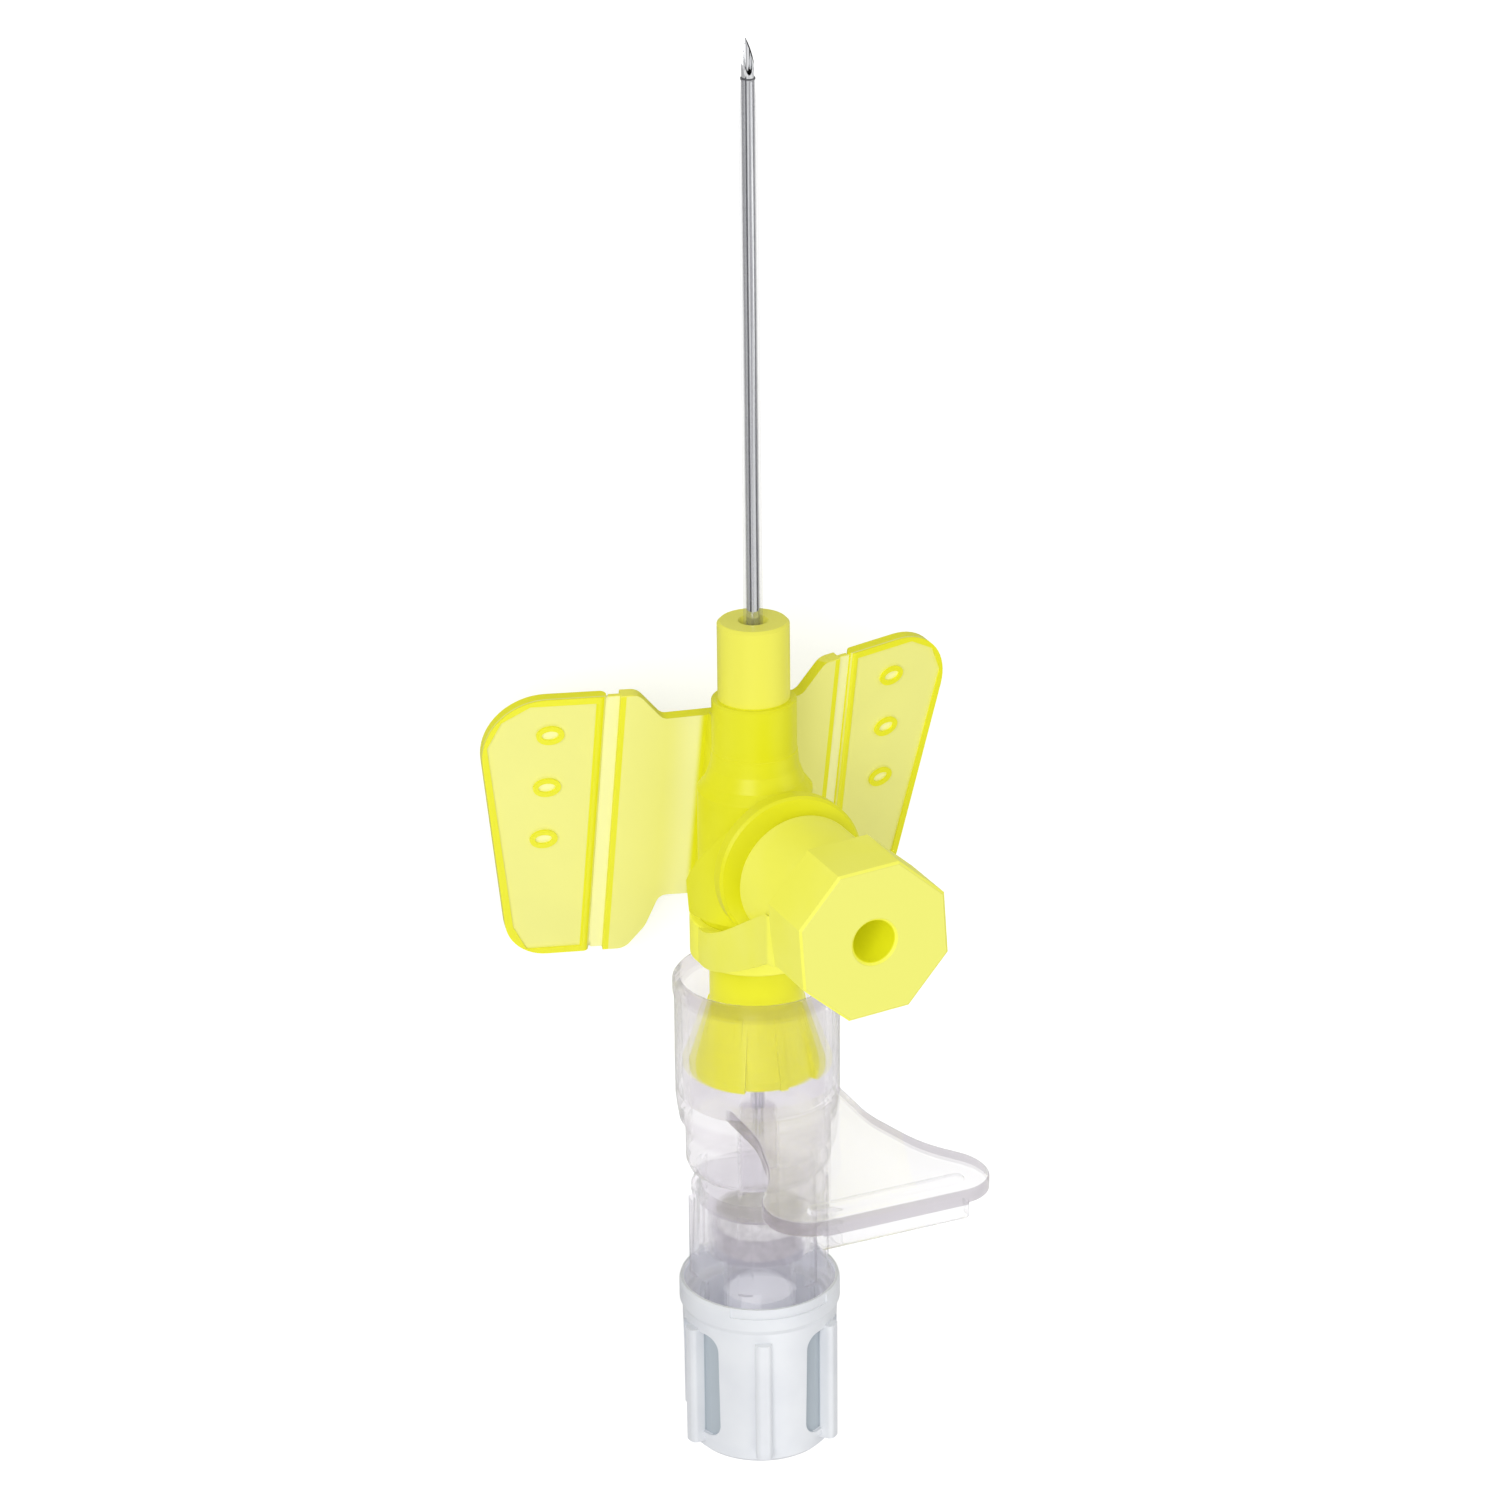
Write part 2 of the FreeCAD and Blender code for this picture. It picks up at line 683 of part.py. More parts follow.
keep(needle, "introducer_needle")

# Catheter tube with a tapered tip, and the steel ferrule that holds it in the hub

keep(turned("catheter_form", [
    ("needle_radius + running_fit + ferrule_wall + running_fit", "ferrule_neck + 0.25"),
    ("tube_radius", "ferrule_neck + 0.25"),
    ("tube_radius", "tube_tip - tube_taper"),
    ("needle_radius + running_fit + tube_tip_wall", "tube_tip"),
    ("needle_radius + running_fit", "tube_tip"),
    ("needle_radius + running_fit", "tube_tip - 0.5"),
    ("tube_bore", "tube_tip - 1"),
    ("tube_bore", "ferrule_high + 0.35"),
    ("needle_radius + running_fit + ferrule_wall + running_fit", "ferrule_high + 0.2"),
]), "catheter_tube")
keep(turned("ferrule_form", [
    ("ferrule_mouth - ferrule_wall", "ferrule_low"),
    ("ferrule_mouth", "ferrule_low"),
    ("needle_radius + running_fit + ferrule_wall", "ferrule_neck"),
    ("needle_radius + running_fit + ferrule_wall", "ferrule_high"),
    ("needle_radius + running_fit", "ferrule_high"),
    ("needle_radius + running_fit", "ferrule_neck"),
]), "ferrule")

# Catheter hub: nose, collar, body, lock flare, port, apron, keel and the inner wing panels

hub_core = turned("hub_core_form", [
    ("0", "hub_low"),
    ("flare_radius", "hub_low"),
    ("flare_radius", "hub_low + 0.5"),
    ("neck_radius + 0.1", "flare_high"),
    ("neck_radius", "flare_high + 0.3"),
    ("neck_radius", "neck_high - 0.3"),
    ("body_radius", "neck_high"),
    ("body_radius", "body_high"),
    ("body_radius - (body_radius - collar_radius) * 0.5", "body_high + (collar_low - body_high) * 0.25"),
    ("body_radius - (body_radius - collar_radius) * 0.85", "body_high + (collar_low - body_high) * 0.6"),
    ("collar_radius + 0.04", "collar_low - 0.05"),
    ("collar_radius", "collar_low"),
    ("collar_radius", "collar_high - 0.1"),
    ("collar_radius - 0.1", "collar_high"),
    ("nose_radius", "collar_high"),
    ("nose_radius", "nose_high - 0.15"),
    ("nose_radius - 0.15", "nose_high"),
    ("0", "nose_high"),
])
hub_rib = outline(new_sketch(hub_core, "XZ_Plane"), [
    ("neck_radius - 0.3", "hub_low"),
    ("flare_radius + hub_rib_height", "hub_low"),
    ("flare_radius + hub_rib_height", "hub_low + 0.6"),
    ("neck_radius + hub_rib_height", "flare_high"),
    ("neck_radius - 0.3", "flare_high + 0.4"),
])
one_rib = pad(hub_core, hub_rib, "hub_rib_width", both_ways=True)
polar(hub_core, [one_rib], "hub_rib_count")

lug_parts = []
for i in range(2):
    start = "%d - lug_angle / 2" % (180 * i)
    lug_parts.append(cylinder("lug_land_%d" % i, "lug_radius", "hub_low", "hub_low + 0.45",
                              "lug_angle", start))
    lug_parts.append(cone("lug_ramp_%d" % i, "lug_radius", "neck_radius + 0.1", "hub_low + 0.45",
                          "flare_high", "lug_angle", start))

port = turned("port_form", [
    ("0", "0"),
    ("port_radius", "0"),
    ("port_radius", "disc_low - 0.6"),
    ("disc_radius", "disc_low"),
    ("disc_radius", "disc_high - 0.15"),
    ("disc_radius - 0.15", "disc_high"),
    ("port_radius", "disc_high"),
    ("port_radius", "port_reach - 0.2"),
    ("port_radius - 0.2", "port_reach"),
    ("0", "port_reach"),
])
face_port(port)

apron_side = new_body("apron_side_form")
pad(apron_side, outline(new_sketch(apron_side, "YZ_Plane"), [
    ("0", "apron_low"),
    ("-disc_low - 0.4", "apron_low"),
    ("-disc_low - 0.4", "apron_top"),
    ("0", "apron_corner"),
]), "3 * apron_high_radius", both_ways=True)
apron_round = cone("apron_round", "apron_low_radius", "apron_high_radius", "apron_low", "apron_top")
apron = common("apron", apron_side, apron_round)

keel = new_body("keel_form")
slope = "tan(wing_pitch)"
keel_low = "ring_high + 2 * seat_gap"
pad(keel, outline(new_sketch(keel, "YZ_Plane"), [
    ("0", keel_low),
    ("wing_root_back + (wing_root_height - (%s)) * %s" % (keel_low, slope), keel_low),
    ("wing_root_back + (wing_root_height - keel_high) * " + slope, "keel_high"),
    ("0", "keel_high"),
]), "keel_width", both_ways=True)


def wing_frame(body):
    """Lay a wing body on the inclined line behind the hub that the two wings spring from."""
    body.Placement = Placement(Vector(0, 1, 1), Rotation(Vector(1, 0, 0), 10))
    bind(body, Placement__Base__y="wing_root_back", Placement__Base__z="wing_root_height",
         Placement__Rotation__Angle="wing_pitch")
    doc.recompute()


def wing_sketch(body, side, offset=None):
    """A sketch in the drooped plane of one wing; side is 1 to the right and -1 to the left."""
    return new_sketch(body, "XZ_Plane", offset, "wing_droop", (0, side, 0))


def sided(side, corners):
    return [("%d * (%s)" % (side, x), y) for x, y in corners]


def across_wing(edge):
    """Pick edges through the thickness of a wing plate."""
    return edge.Curve.TypeId == "Part::GeomLine" \
        and abs(edge.Length - size("wing_thick")) < 0.001 and abs(edge.tangentAt(0).z) < 0.01


def corner_of_wing(x, z):
    """Pick the edge through the plate at one corner of its outline."""
    reach = x * math.cos(math.radians(size("wing_droop")))
    return lambda edge: across_wing(edge) \
        and abs(abs(edge.CenterOfMass.x) - reach) < 0.05 and abs(edge.CenterOfMass.z - z) < 0.05


inner_panels = []
for side, tag in ((1, "right"), (-1, "left")):
    panel = new_body("inner_panel_" + tag)
    pad(panel, outline(wing_sketch(panel, side), sided(side, [
        ("keel_width / 2 - 0.6", "-wing_waist_low"),
        ("wing_waist_reach - 0.6", "-wing_waist_low"),
        ("wing_waist_reach + 0.1", "-wing_low + 1.5"),
        ("wing_inner_reach - 1.3", "-wing_low"),
        ("wing_inner_reach", "-wing_low"),
        ("wing_inner_reach", "wing_high"),
        ("wing_inner_reach - 1", "wing_high"),
        ("wing_waist_reach", "wing_waist_high"),
        ("keel_width / 2 - 0.6", "wing_waist_high + 0.15"),
    ])), "wing_thick", both_ways=True)
    low, high = -size("wing_low"), size("wing_high")
    reach = size("wing_waist_reach")
    fillet(panel, corner_of_wing(size("wing_inner_reach") - 1.3, low), "0.9")
    fillet(panel, corner_of_wing(reach + 0.1, low + 1.5), "1.5")
    fillet(panel, corner_of_wing(reach - 0.6, -size("wing_waist_low")), "0.6")
    fillet(panel, corner_of_wing(size("wing_inner_reach") - 1, high), "0.9")
    fillet(panel, corner_of_wing(reach, size("wing_waist_high")), "0.6")
    film = new_body("film_" + tag)
    pad(film, outline(wing_sketch(film, side), sided(side, [
        ("wing_inner_reach - 0.1", "-wing_low + 0.1"),
        ("film_reach", "-wing_low + 0.1"),
        ("film_reach", "wing_high - 0.1"),
        ("wing_inner_reach - 0.1", "wing_high - 0.1"),
    ])), "film_thick", both_ways=True)
    wing_frame(panel)
    wing_frame(film)
    inner_panels += [panel, film]

hub_solid = fuse("hub_solid", [hub_core] + lug_parts + [port, apron, keel] + inner_panels)

socket_end = "socket_radius - cone_taper * (socket_high - hub_low)"
main_bore = turned("main_bore_form", [
    ("0", "hub_low - 1"),
    ("socket_radius", "hub_low - 1"),
    ("socket_radius", "hub_low"),
    (socket_end, "socket_high"),
    ("valve_bore", "socket_high"),
    ("valve_bore", "valve_high + 0.05"),
    ("throat_radius", "valve_high + 0.05"),
    ("throat_radius", "ferrule_low - 0.05"),
    ("ferrule_mouth + 0.06", "ferrule_low - 0.05"),
    ("tube_radius + running_fit", "ferrule_neck + 0.2"),
    ("tube_radius + running_fit", "nose_high - 0.5"),
    ("nose_mouth_radius", "nose_high"),
    ("nose_mouth_radius", "nose_high + 1"),
    ("0", "nose_high + 1"),
])
port_bore = turned("port_bore_form", [
    ("0", "0.4"),
    ("port_throat", "0.4"),
    ("port_throat", "port_step"),
    ("port_bore - cone_taper * (port_reach - port_step)", "port_step"),
    ("port_bore", "port_reach"),
    ("port_bore", "port_reach + 1"),
    ("0", "port_reach + 1"),
])
face_port(port_bore)
keep(cut("catheter_hub_piece", hub_solid, fuse("hub_bores", [main_bore, port_bore])), "catheter_hub")

# Valve: an elastic sleeve across the inner end of the port

keep(turned("valve_form", [
    ("valve_bore - running_fit - valve_wall", "valve_low"),
    ("valve_bore - running_fit", "valve_low"),
    ("valve_bore - running_fit", "valve_high"),
    ("valve_bore - running_fit - valve_wall", "valve_high"),
]), "port_valve")

# Outer wing panels: each folds on the film strip along its inner edge

hinge_reach = "(film_reach + film_gap + wing_thick / 2)"
for side, tag in ((1, "right"), (-1, "left")):
    wing = new_body("outer_panel_" + tag)
    pad(wing, outline(wing_sketch(wing, side), sided(side, [
        (hinge_reach, "-wing_low"),
        ("wing_low_reach", "-wing_low"),
        ("wing_high_reach", "wing_high"),
        (hinge_reach, "wing_high"),
    ])), "wing_thick", both_ways=True)
    fillet(wing, corner_of_wing(size("wing_low_reach"), -size("wing_low")), "wing_low_corner")
    fillet(wing, corner_of_wing(size("wing_high_reach"), size("wing_high")), "wing_high_corner")
    tray = outline(wing_sketch(wing, side, "wing_thick / 2 - wing_recess"), sided(side, [
        (hinge_reach + " + 0.15", "-wing_low + wing_border"),
        ("wing_low_reach - wing_border - 0.55", "-wing_low + wing_border"),
        ("wing_low_reach - wing_border + 0.33", "-wing_low + wing_border + 1.6"),
        ("wing_high_reach - wing_border - 0.42", "wing_high - wing_border - 2.6"),
        ("wing_high_reach - wing_border - 1.15", "wing_high - wing_border - 0.95"),
        ("wing_high_reach - wing_border - 2.75", "wing_high - wing_border"),
        (hinge_reach + " + 0.15", "wing_high - wing_border"),
    ]))
    pocket(wing, tray, "wing_recess * 2", other_way=True)
    dimples = wing_sketch(wing, side, "wing_thick / 2 - wing_recess - 0.05")
    for i in range(3):
        near = Vector(side * size("dimple_reach"), size("dimple_first") - i * size("dimple_pitch"), 0)
        spot = ("%d * dimple_reach" % side, "dimple_first - %d * dimple_pitch" % i)
        oval(dimples, *spot, "dimple_half_long", "dimple_half_wide", near)
        oval(dimples, *spot, "dimple_half_long - dimple_wall", "dimple_half_wide - dimple_wall", near)
    pad(wing, dimples, "dimple_height + 0.05")
    knuckle = new_body("knuckle_" + tag)
    rod = new_sketch(knuckle, "XY_Plane")
    droop = "wing_droop"
    circle(rod, "%d * %s * cos(%s)" % (side, hinge_reach, droop), hinge_reach + " * sin(%s)" % droop,
           "wing_thick / 2")
    bind(rod, AttachmentOffset__Base__z="-wing_low")
    pad(knuckle, rod, "wing_high + wing_low")
    wing_frame(wing)
    wing_frame(knuckle)
    keep(fuse("wing_piece_" + tag, [wing, knuckle]), "wing_" + tag)

# Port cap: octagonal head with a blind hole, a skirt over the port tube and a tapered plug

plug_low = "port_reach - cap_plug_length"
cap_shell = turned("cap_shell_form", [
    ("0", plug_low),
    ("port_bore - running_fit - cone_taper * cap_plug_length - 0.15", plug_low),
    ("port_bore - running_fit - cone_taper * (cap_plug_length - 0.3)", plug_low + " + 0.3"),
    ("port_bore - running_fit", "port_reach"),
    ("port_bore - running_fit", "port_reach + 0.3"),
    ("skirt_radius - skirt_wall", "port_reach + 0.3"),
    ("skirt_radius - skirt_wall", "skirt_low"),
    ("skirt_radius - 0.12", "skirt_low"),
    ("skirt_radius", "skirt_low + 0.12"),
    ("skirt_radius", "head_low + 0.2"),
    ("0", "head_low + 0.2"),
])
head = doc.addObject("Part::Prism", "cap_head_prism")
head.Polygon = 8
head.Placement = Placement(Vector(), Rotation(Vector(0, 0, 1), 10))
bind(head, Circumradius="head_radius", Height="head_high - head_low", Placement__Base__z="head_low",
     Placement__Rotation__Angle="22.5 + head_turn")
doc.recompute()
head_round = doc.addObject("Part::Chamfer", "cap_head")
head_round.Base = head
bevelled = []
for i, edge in enumerate(head.Shape.Edges):
    if edge.CenterOfMass.z > size("head_high") - 0.01 or edge.CenterOfMass.z < size("head_low") + 0.01:
        bevelled.append((i + 1, size("head_bevel"), size("head_bevel")))
head_round.Edges = bevelled
hole = cylinder("cap_hole", "cap_hole_radius", "head_high - cap_hole_depth", "head_high + 0.5")
hole_mouth = cone("cap_hole_mouth", "cap_hole_radius", "cap_hole_radius + cap_hole_bevel + 0.5",
                  "head_high - cap_hole_bevel", "head_high + 0.5")
cap = cut("port_cap_piece", fuse("cap_solid", [cap_shell, head_round]), fuse("cap_cuts", [hole, hole_mouth]))
keep(cap, "port_cap", PORT_PLACE)

# Strap: a ring round the hub below the port, with a tongue that rises to the cap's flat side

ring = turned("strap_ring_form", [
    ("body_radius + seat_gap", "ring_low"),
    ("ring_radius - 0.08", "ring_low"),
    ("ring_radius", "ring_low + 0.08"),
    ("ring_radius", "ring_high - 0.08"),
    ("ring_radius - 0.08", "ring_high"),
    ("body_radius + seat_gap", "ring_high"),
])
stations = [
    ("0.3", "strap_near_side", "(ring_low + ring_high) / 2", "ring_high - ring_low - 0.2"),
    ("strap_mid_reach * 0.45", "(strap_near_side + strap_mid_side) / 2 + 0.14",
     "ring_low * 0.35 + ring_high * 0.35 + strap_mid_height * 0.3", "ring_high - ring_low - 0.1"),
    ("strap_mid_reach", "strap_mid_side", "strap_mid_height", "(ring_high - ring_low + strap_far_width) / 2"),
    ("head_low - strap_end_gap", "strap_far_side", "strap_far_height", "strap_far_width"),
]
sections = []
for i, (reach, side_place, height, width) in enumerate(stations):
    section = doc.addObject("Sketcher::SketchObject", "strap_section_%d" % i)
    section.Placement = Placement(Vector(0, -1, 0), Rotation(Vector(1, 0, 0), 90))
    bind(section, Placement__Base__y="-(%s)" % reach)
    near = "-(%s) + strap_thick / 2" % side_place
    far = "-(%s) - strap_thick / 2" % side_place
    outline(section, [
        (near, "%s - (%s) / 2" % (height, width)),
        (far, "%s - (%s) / 2" % (height, width)),
        (far, "%s + (%s) / 2" % (height, width)),
        (near, "%s + (%s) / 2" % (height, width)),
    ])
    sections.append(section)
doc.recompute()
tongue = doc.addObject("Part::Loft", "strap_tongue")
tongue.Sections = sections
tongue.Solid = True
tongue.Ruled = False
doc.recompute()
ring_room = cylinder("strap_ring_room", "body_radius + seat_gap", "ring_low - 2", "ring_high + 2")
keep(fuse("cap_strap_piece", [ring, cut("strap_tongue_trim", tongue, ring_room)]), "cap_strap")

# Check every object and write one file per piece

doc.recompute()
faults = []
for item in doc.Objects:
    if "Invalid" in item.State or "Error" in item.State:
        faults.append(item.Name)
for item in nodes:
    shape = item.Shape
    if shape.isNull() or not shape.isValid() or not shape.Solids:
        faults.append(item.Label)
if faults:
    raise RuntimeError("faulty pieces: " + ", ".join(faults))

os.makedirs("parts", exist_ok=True)
for item in nodes:
    item.Shape.exportStep("parts/%s.step" % item.Label)
    print("%-18s %9.3f mm3  %d solid" % (item.Label, item.Shape.Volume, len(item.Shape.Solids)))
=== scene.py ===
"""Finishes, hinge films, strap end, camera and stage for the packed venous cannula.

The packed model is loaded as a fixed frame, in metres. It lies on the corners of its wings and a
rib of its stopper: +Y runs along the needle to its point, the port points up and the wings reach
along X. Places on the cannula are given as if it stood on its stopper at the origin, with the
needle up Z and the port to -Y, and LAY carries them into the frame.
"""

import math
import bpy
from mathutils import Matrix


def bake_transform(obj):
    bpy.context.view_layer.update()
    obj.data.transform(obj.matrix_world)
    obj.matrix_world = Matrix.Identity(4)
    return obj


bl_info = {
    "name": "Venous cannula finishes",
    "version": (1, 0, 0),
    "blender": (4, 5, 0),
    "location": "View3D > Sidebar > Cannula",
    "description": "Moulded plastic and steel finishes, hinge films, strap end and stage",
    "category": "Object",
}

import bmesh
import bpy
from bpy.props import FloatProperty, FloatVectorProperty, PointerProperty
from mathutils import Matrix, Vector

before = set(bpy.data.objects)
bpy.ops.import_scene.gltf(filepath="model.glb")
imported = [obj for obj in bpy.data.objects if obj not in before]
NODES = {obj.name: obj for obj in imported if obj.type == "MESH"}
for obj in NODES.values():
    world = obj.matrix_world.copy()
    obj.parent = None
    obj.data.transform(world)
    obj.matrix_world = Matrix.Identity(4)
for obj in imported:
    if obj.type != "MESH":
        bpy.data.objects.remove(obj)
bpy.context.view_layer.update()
MM = 0.001
SHARP = 0.02 * MM  # the width over which one tint turns into the next
FLAT = 0.03 * MM  # how far off a face a place may lie and still count as on it
LAY_TURN = math.radians(-83.528)
LAY_PLACE = Vector((0, -41.518 * MM, 4.582 * MM))
LAY = Matrix.Translation(LAY_PLACE) @ Matrix.Rotation(LAY_TURN, 4, "X")

YELLOW_THICK = ("catheter_hub",)
YELLOW_SOLID = ("port_cap", "cap_strap")
WINGS = {"wing_right": 1, "wing_left": -1}
PINS = 3  # grip rings on each wing
CLEAR = ("needle_hub", "flash_chamber")
LIT_PLACE = Vector((0, 0, 0.01))
LAMPS = (
    ("Key lamp", (-0.30, 0.12, 0.38), 0.24, "key_power"),
    ("Fill lamp", (0.36, -0.02, 0.26), 0.26, "fill_power"),
    ("Foot lamp", (0.02, -0.36, 0.24), 0.20, "foot_power"),
)


# Sizes and colours

def colour(name, default, text):
    return FloatVectorProperty(name=name, description=text, subtype="COLOR", size=3,
                               default=default, min=0, max=1)


def length(name, default_mm, text):
    return FloatProperty(name=name, description=text, unit="LENGTH", default=default_mm * MM,
                         precision=5)


def share(name, default, text):
    return FloatProperty(name=name, description=text, subtype="FACTOR", default=default,
                         min=0, max=1)


def angle(name, degrees, text):
    return FloatProperty(name=name, description=text, subtype="ANGLE",
                         default=math.radians(degrees))


class YellowPlastic(bpy.types.PropertyGroup):
    """The tinted plastic of the catheter hub, wings, cap and strap."""
    hub_colour: colour("Hub", (0.80, 0.79, 0.012), "Tint of the thick catheter hub")
    hub_pale: colour("Hub pale", (0.83, 0.82, 0.03), "Tint of the hub's slow flow marks")
    nose_colour: colour("Nose", (0.90, 0.87, 0.11), "Tint of the hub's thin nose")
    # Thin flare's tint, made lighter: partly its own thin plastic, partly painted light lifting
    # the shade inside the sleeve
    foot_thin_and_lit: colour("Foot", (0.87, 0.85, 0.02), "Tint of the thin flare inside the sleeve")
    solid_colour: colour("Cap", (0.89, 0.88, 0.092), "Colour of the port cap and strap")
    solid_pale: colour("Cap pale", (0.91, 0.90, 0.13), "Colour of the cap's flow marks")
    # Painted light: the cap's front face is paler, as the face turned to the lamps
    face_light_colour: colour("Cap face", (0.80, 0.795, 0.165), "Colour of the cap's front face")
    # Painted shade: the deeper colour inside the cap's blind hole
    hole_shade_colour: colour("Cap hole", (0.78, 0.78, 0.016), "Colour inside the cap's blind hole")
    wing_edge: colour("Wing edge", (0.86, 0.84, 0.02), "Tint of a wing's raised border and sides")
    wing_panel: colour("Wing panel", (0.90, 0.885, 0.27), "Tint of the thin panel of a wing")
    # Painted highlight: the wing panel turns paler close to the hub
    wing_root_highlight: colour("Wing root", (0.97, 0.96, 0.50), "Tint of a wing close to the hub")
    film_tint: colour("Film", (0.96, 0.95, 0.45), "Tint of the thin hinge film")
    index: FloatProperty(name="Index", description="Refractive index", default=1.33, min=1, max=2)
    hub_clearness: share("Hub clearness", 0.0, "How much light passes through the hub")
    wing_clearness: share("Wing clearness", 0.0, "How much light passes through a wing")
    # Painted glow: emission of the plastic's own tint that lifts its shade, on the hub, wings and
    # film, and more strongly on the cap and strap
    glow: share("Glow", 0.05, "Light that the tinted plastic scatters back from within")
    cap_glow: share("Cap glow", 0.13, "Light that the cap and strap scatter back from within")
    roughness: share("Roughness", 0.34, "Roughness of the moulded surface")
    cap_roughness: share("Cap roughness", 0.46, "Roughness of the satin cap and strap")


class ClearPlastic(bpy.types.PropertyGroup):
    """The clear plastic of the needle hub and the flash chamber, and where deeper tints paint
    shade on its edges.
    """
    tint: colour("Tint", (0.80, 0.78, 0.815), "Faint tint of the clear wall")
    tint_deep: colour("Deep tint", (0.70, 0.68, 0.72), "Tint of the clear wall's slow flow marks")
    plate_tint: colour("Plate tint", (0.80, 0.79, 0.81), "Tint of the thumb plate")
    # Painted shade: the deep tint on the thumb plate's edge draws its dark outline
    edge_shade_tint: colour("Edge tint", (0.14, 0.11, 0.15), "Tint of the thumb plate's edge")
    # Painted shade: the deeper tint on the sleeve's rim and rounded foot
    rim_shade_tint: colour("Rim tint", (0.58, 0.54, 0.60), "Tint of the sleeve's rim and rounded foot")
    sleeve_radius: length("Sleeve", 4.9, "Radius past which the thumb plate starts")
    plate_low: length("Plate low", 22.65, "Height of the thumb plate's lower face")
    plate_high: length("Plate high", 23.5, "Height of the thumb plate's upper face")
    rim_low: length("Rim low", 28.7, "Height at which the sleeve's rim starts")
    foot_low: length("Foot low", 20.3, "Height at which the sleeve's rounded foot starts")
    foot_high: length("Foot high", 21.4, "Height at which the foot's deep tint starts to fade")
    roughness: share("Roughness", 0.02, "Roughness of the polished surface")
    clearness: share("Clearness", 0.96, "How much light passes through the clear wall")
    index: FloatProperty(name="Index", description="Refractive index", default=1.08, min=1, max=2)
    coat: share("Coat", 0.7, "Gloss of the polished surface")
    cover: share("Cover", 0.6, "How much of the light the clear wall bends and tints")
    # Painted glow: emission that lifts the dark places in the clear plastic
    glow: share("Glow", 0.02, "Light that the clear plastic scatters back from within")


class WhitePlastic(bpy.types.PropertyGroup):
    """The milky plastic of the lock stopper, vent plug and valve, and the stopper's places."""
    stopper_colour: colour("Stopper", (0.90, 0.92, 0.95), "Colour of the stopper's outer wall")
    stopper_shade: colour("Stopper shade", (0.84, 0.86, 0.90), "Colour of its slow flow marks")
    recess_shade_colour: colour("Recess", (0.50, 0.56, 0.61), "Colour of the thin wall in the recesses")
    # Painted shade: the grey-blue of the stopper's recesses
    recess_low_radius: length("Recess inside", 3.9, "Radius inside the recess floors")
    recess_high_radius: length("Recess outside", 4.2, "Radius of the recess floors")
    recess_low: length("Recess low", 1.4, "Height of the recesses' lower ends")
    recess_high: length("Recess high", 8.05, "Height of the recesses' upper ends")
    bore_radius: length("Bore", 3.85, "Radius within which the stopper's inner walls lie")
    mouth_radius: length("Mouth", 4.49, "Radius of the stopper's mouth")
    mouth_low: length("Mouth low", 8.9, "Height at which the stopper's mouth starts")
    # Painted glow: emission on the stopper's inner walls, lifting their shade
    inner_glow: share("Inner glow", 0.14, "Light that reaches the stopper's inner walls")
    plug_colour: colour("Vent plug", (0.86, 0.86, 0.85), "Colour of the porous vent plug")
    valve_shade: colour("Valve shade", (0.75, 0.74, 0.68), "Colour of the valve's slow flow marks")
    valve_colour: colour("Valve", (0.85, 0.84, 0.78), "Colour of the silicone valve")
    clearness: share("Clearness", 0.1, "How much light passes through the stopper")
    roughness: share("Roughness", 0.3, "Roughness of the stopper")


class Steel(bpy.types.PropertyGroup):
    """The drawn steel of the needle and ferrule, and the tube over the needle."""
    colour: colour("Steel", (0.86, 0.87, 0.88), "Colour of the steel")
    colour_dark: colour("Drawn lines", (0.62, 0.62, 0.65), "Colour of the dark drawing lines")
    roughness: share("Roughness", 0.04, "Roughness of the polished steel")
    line_roughness: share("Line roughness", 0.14, "How much rougher the drawing lines are")
    line_depth: length("Line depth", 0.004, "Depth of the drawing lines")
    tube_tint: colour("Catheter", (0.40, 0.40, 0.44), "Tint of the catheter tube")
    # Painted shade: the catheter's cut end is tinted dark
    tube_end_shade: colour("Catheter end", (0.10, 0.10, 0.11), "Tint of the catheter's cut end")
    tube_cover: share("Catheter cover", 0.13, "How much one face of the thin tube hides")
    # Painted shade: the cut end is made nearly opaque so its dark tint shows
    tube_end_shade_cover: share("Catheter end cover", 0.9, "How much the tube's cut end hides")
    tube_end: length("Catheter end height", 81.78, "Height at which the catheter's cut end starts")


class HingeFilm(bpy.types.PropertyGroup):
    """The thin film that each outer wing panel folds on."""
    pitch: angle("Pitch", 12.08, "Lean of the line that both wings spring from")
    droop: angle("Droop", 11.08, "Angle of each wing behind the hub")
    root_back: length("Root back", 3.87, "Distance of the root line behind the needle")
    root_height: length("Root height", 38, "Height at which the root line is that far back")
    near: length("Near edge", 7.36, "Reach at which the film leaves the inner panel")
    far: length("Far edge", 7.68, "Reach at which the film enters the outer panel")
    low: length("Low end", -8.42, "Low end of the film along the root line")
    high: length("High end", 8.62, "High end of the film along the root line")
    thickness: length("Thickness", 0.2, "Thickness of the film")


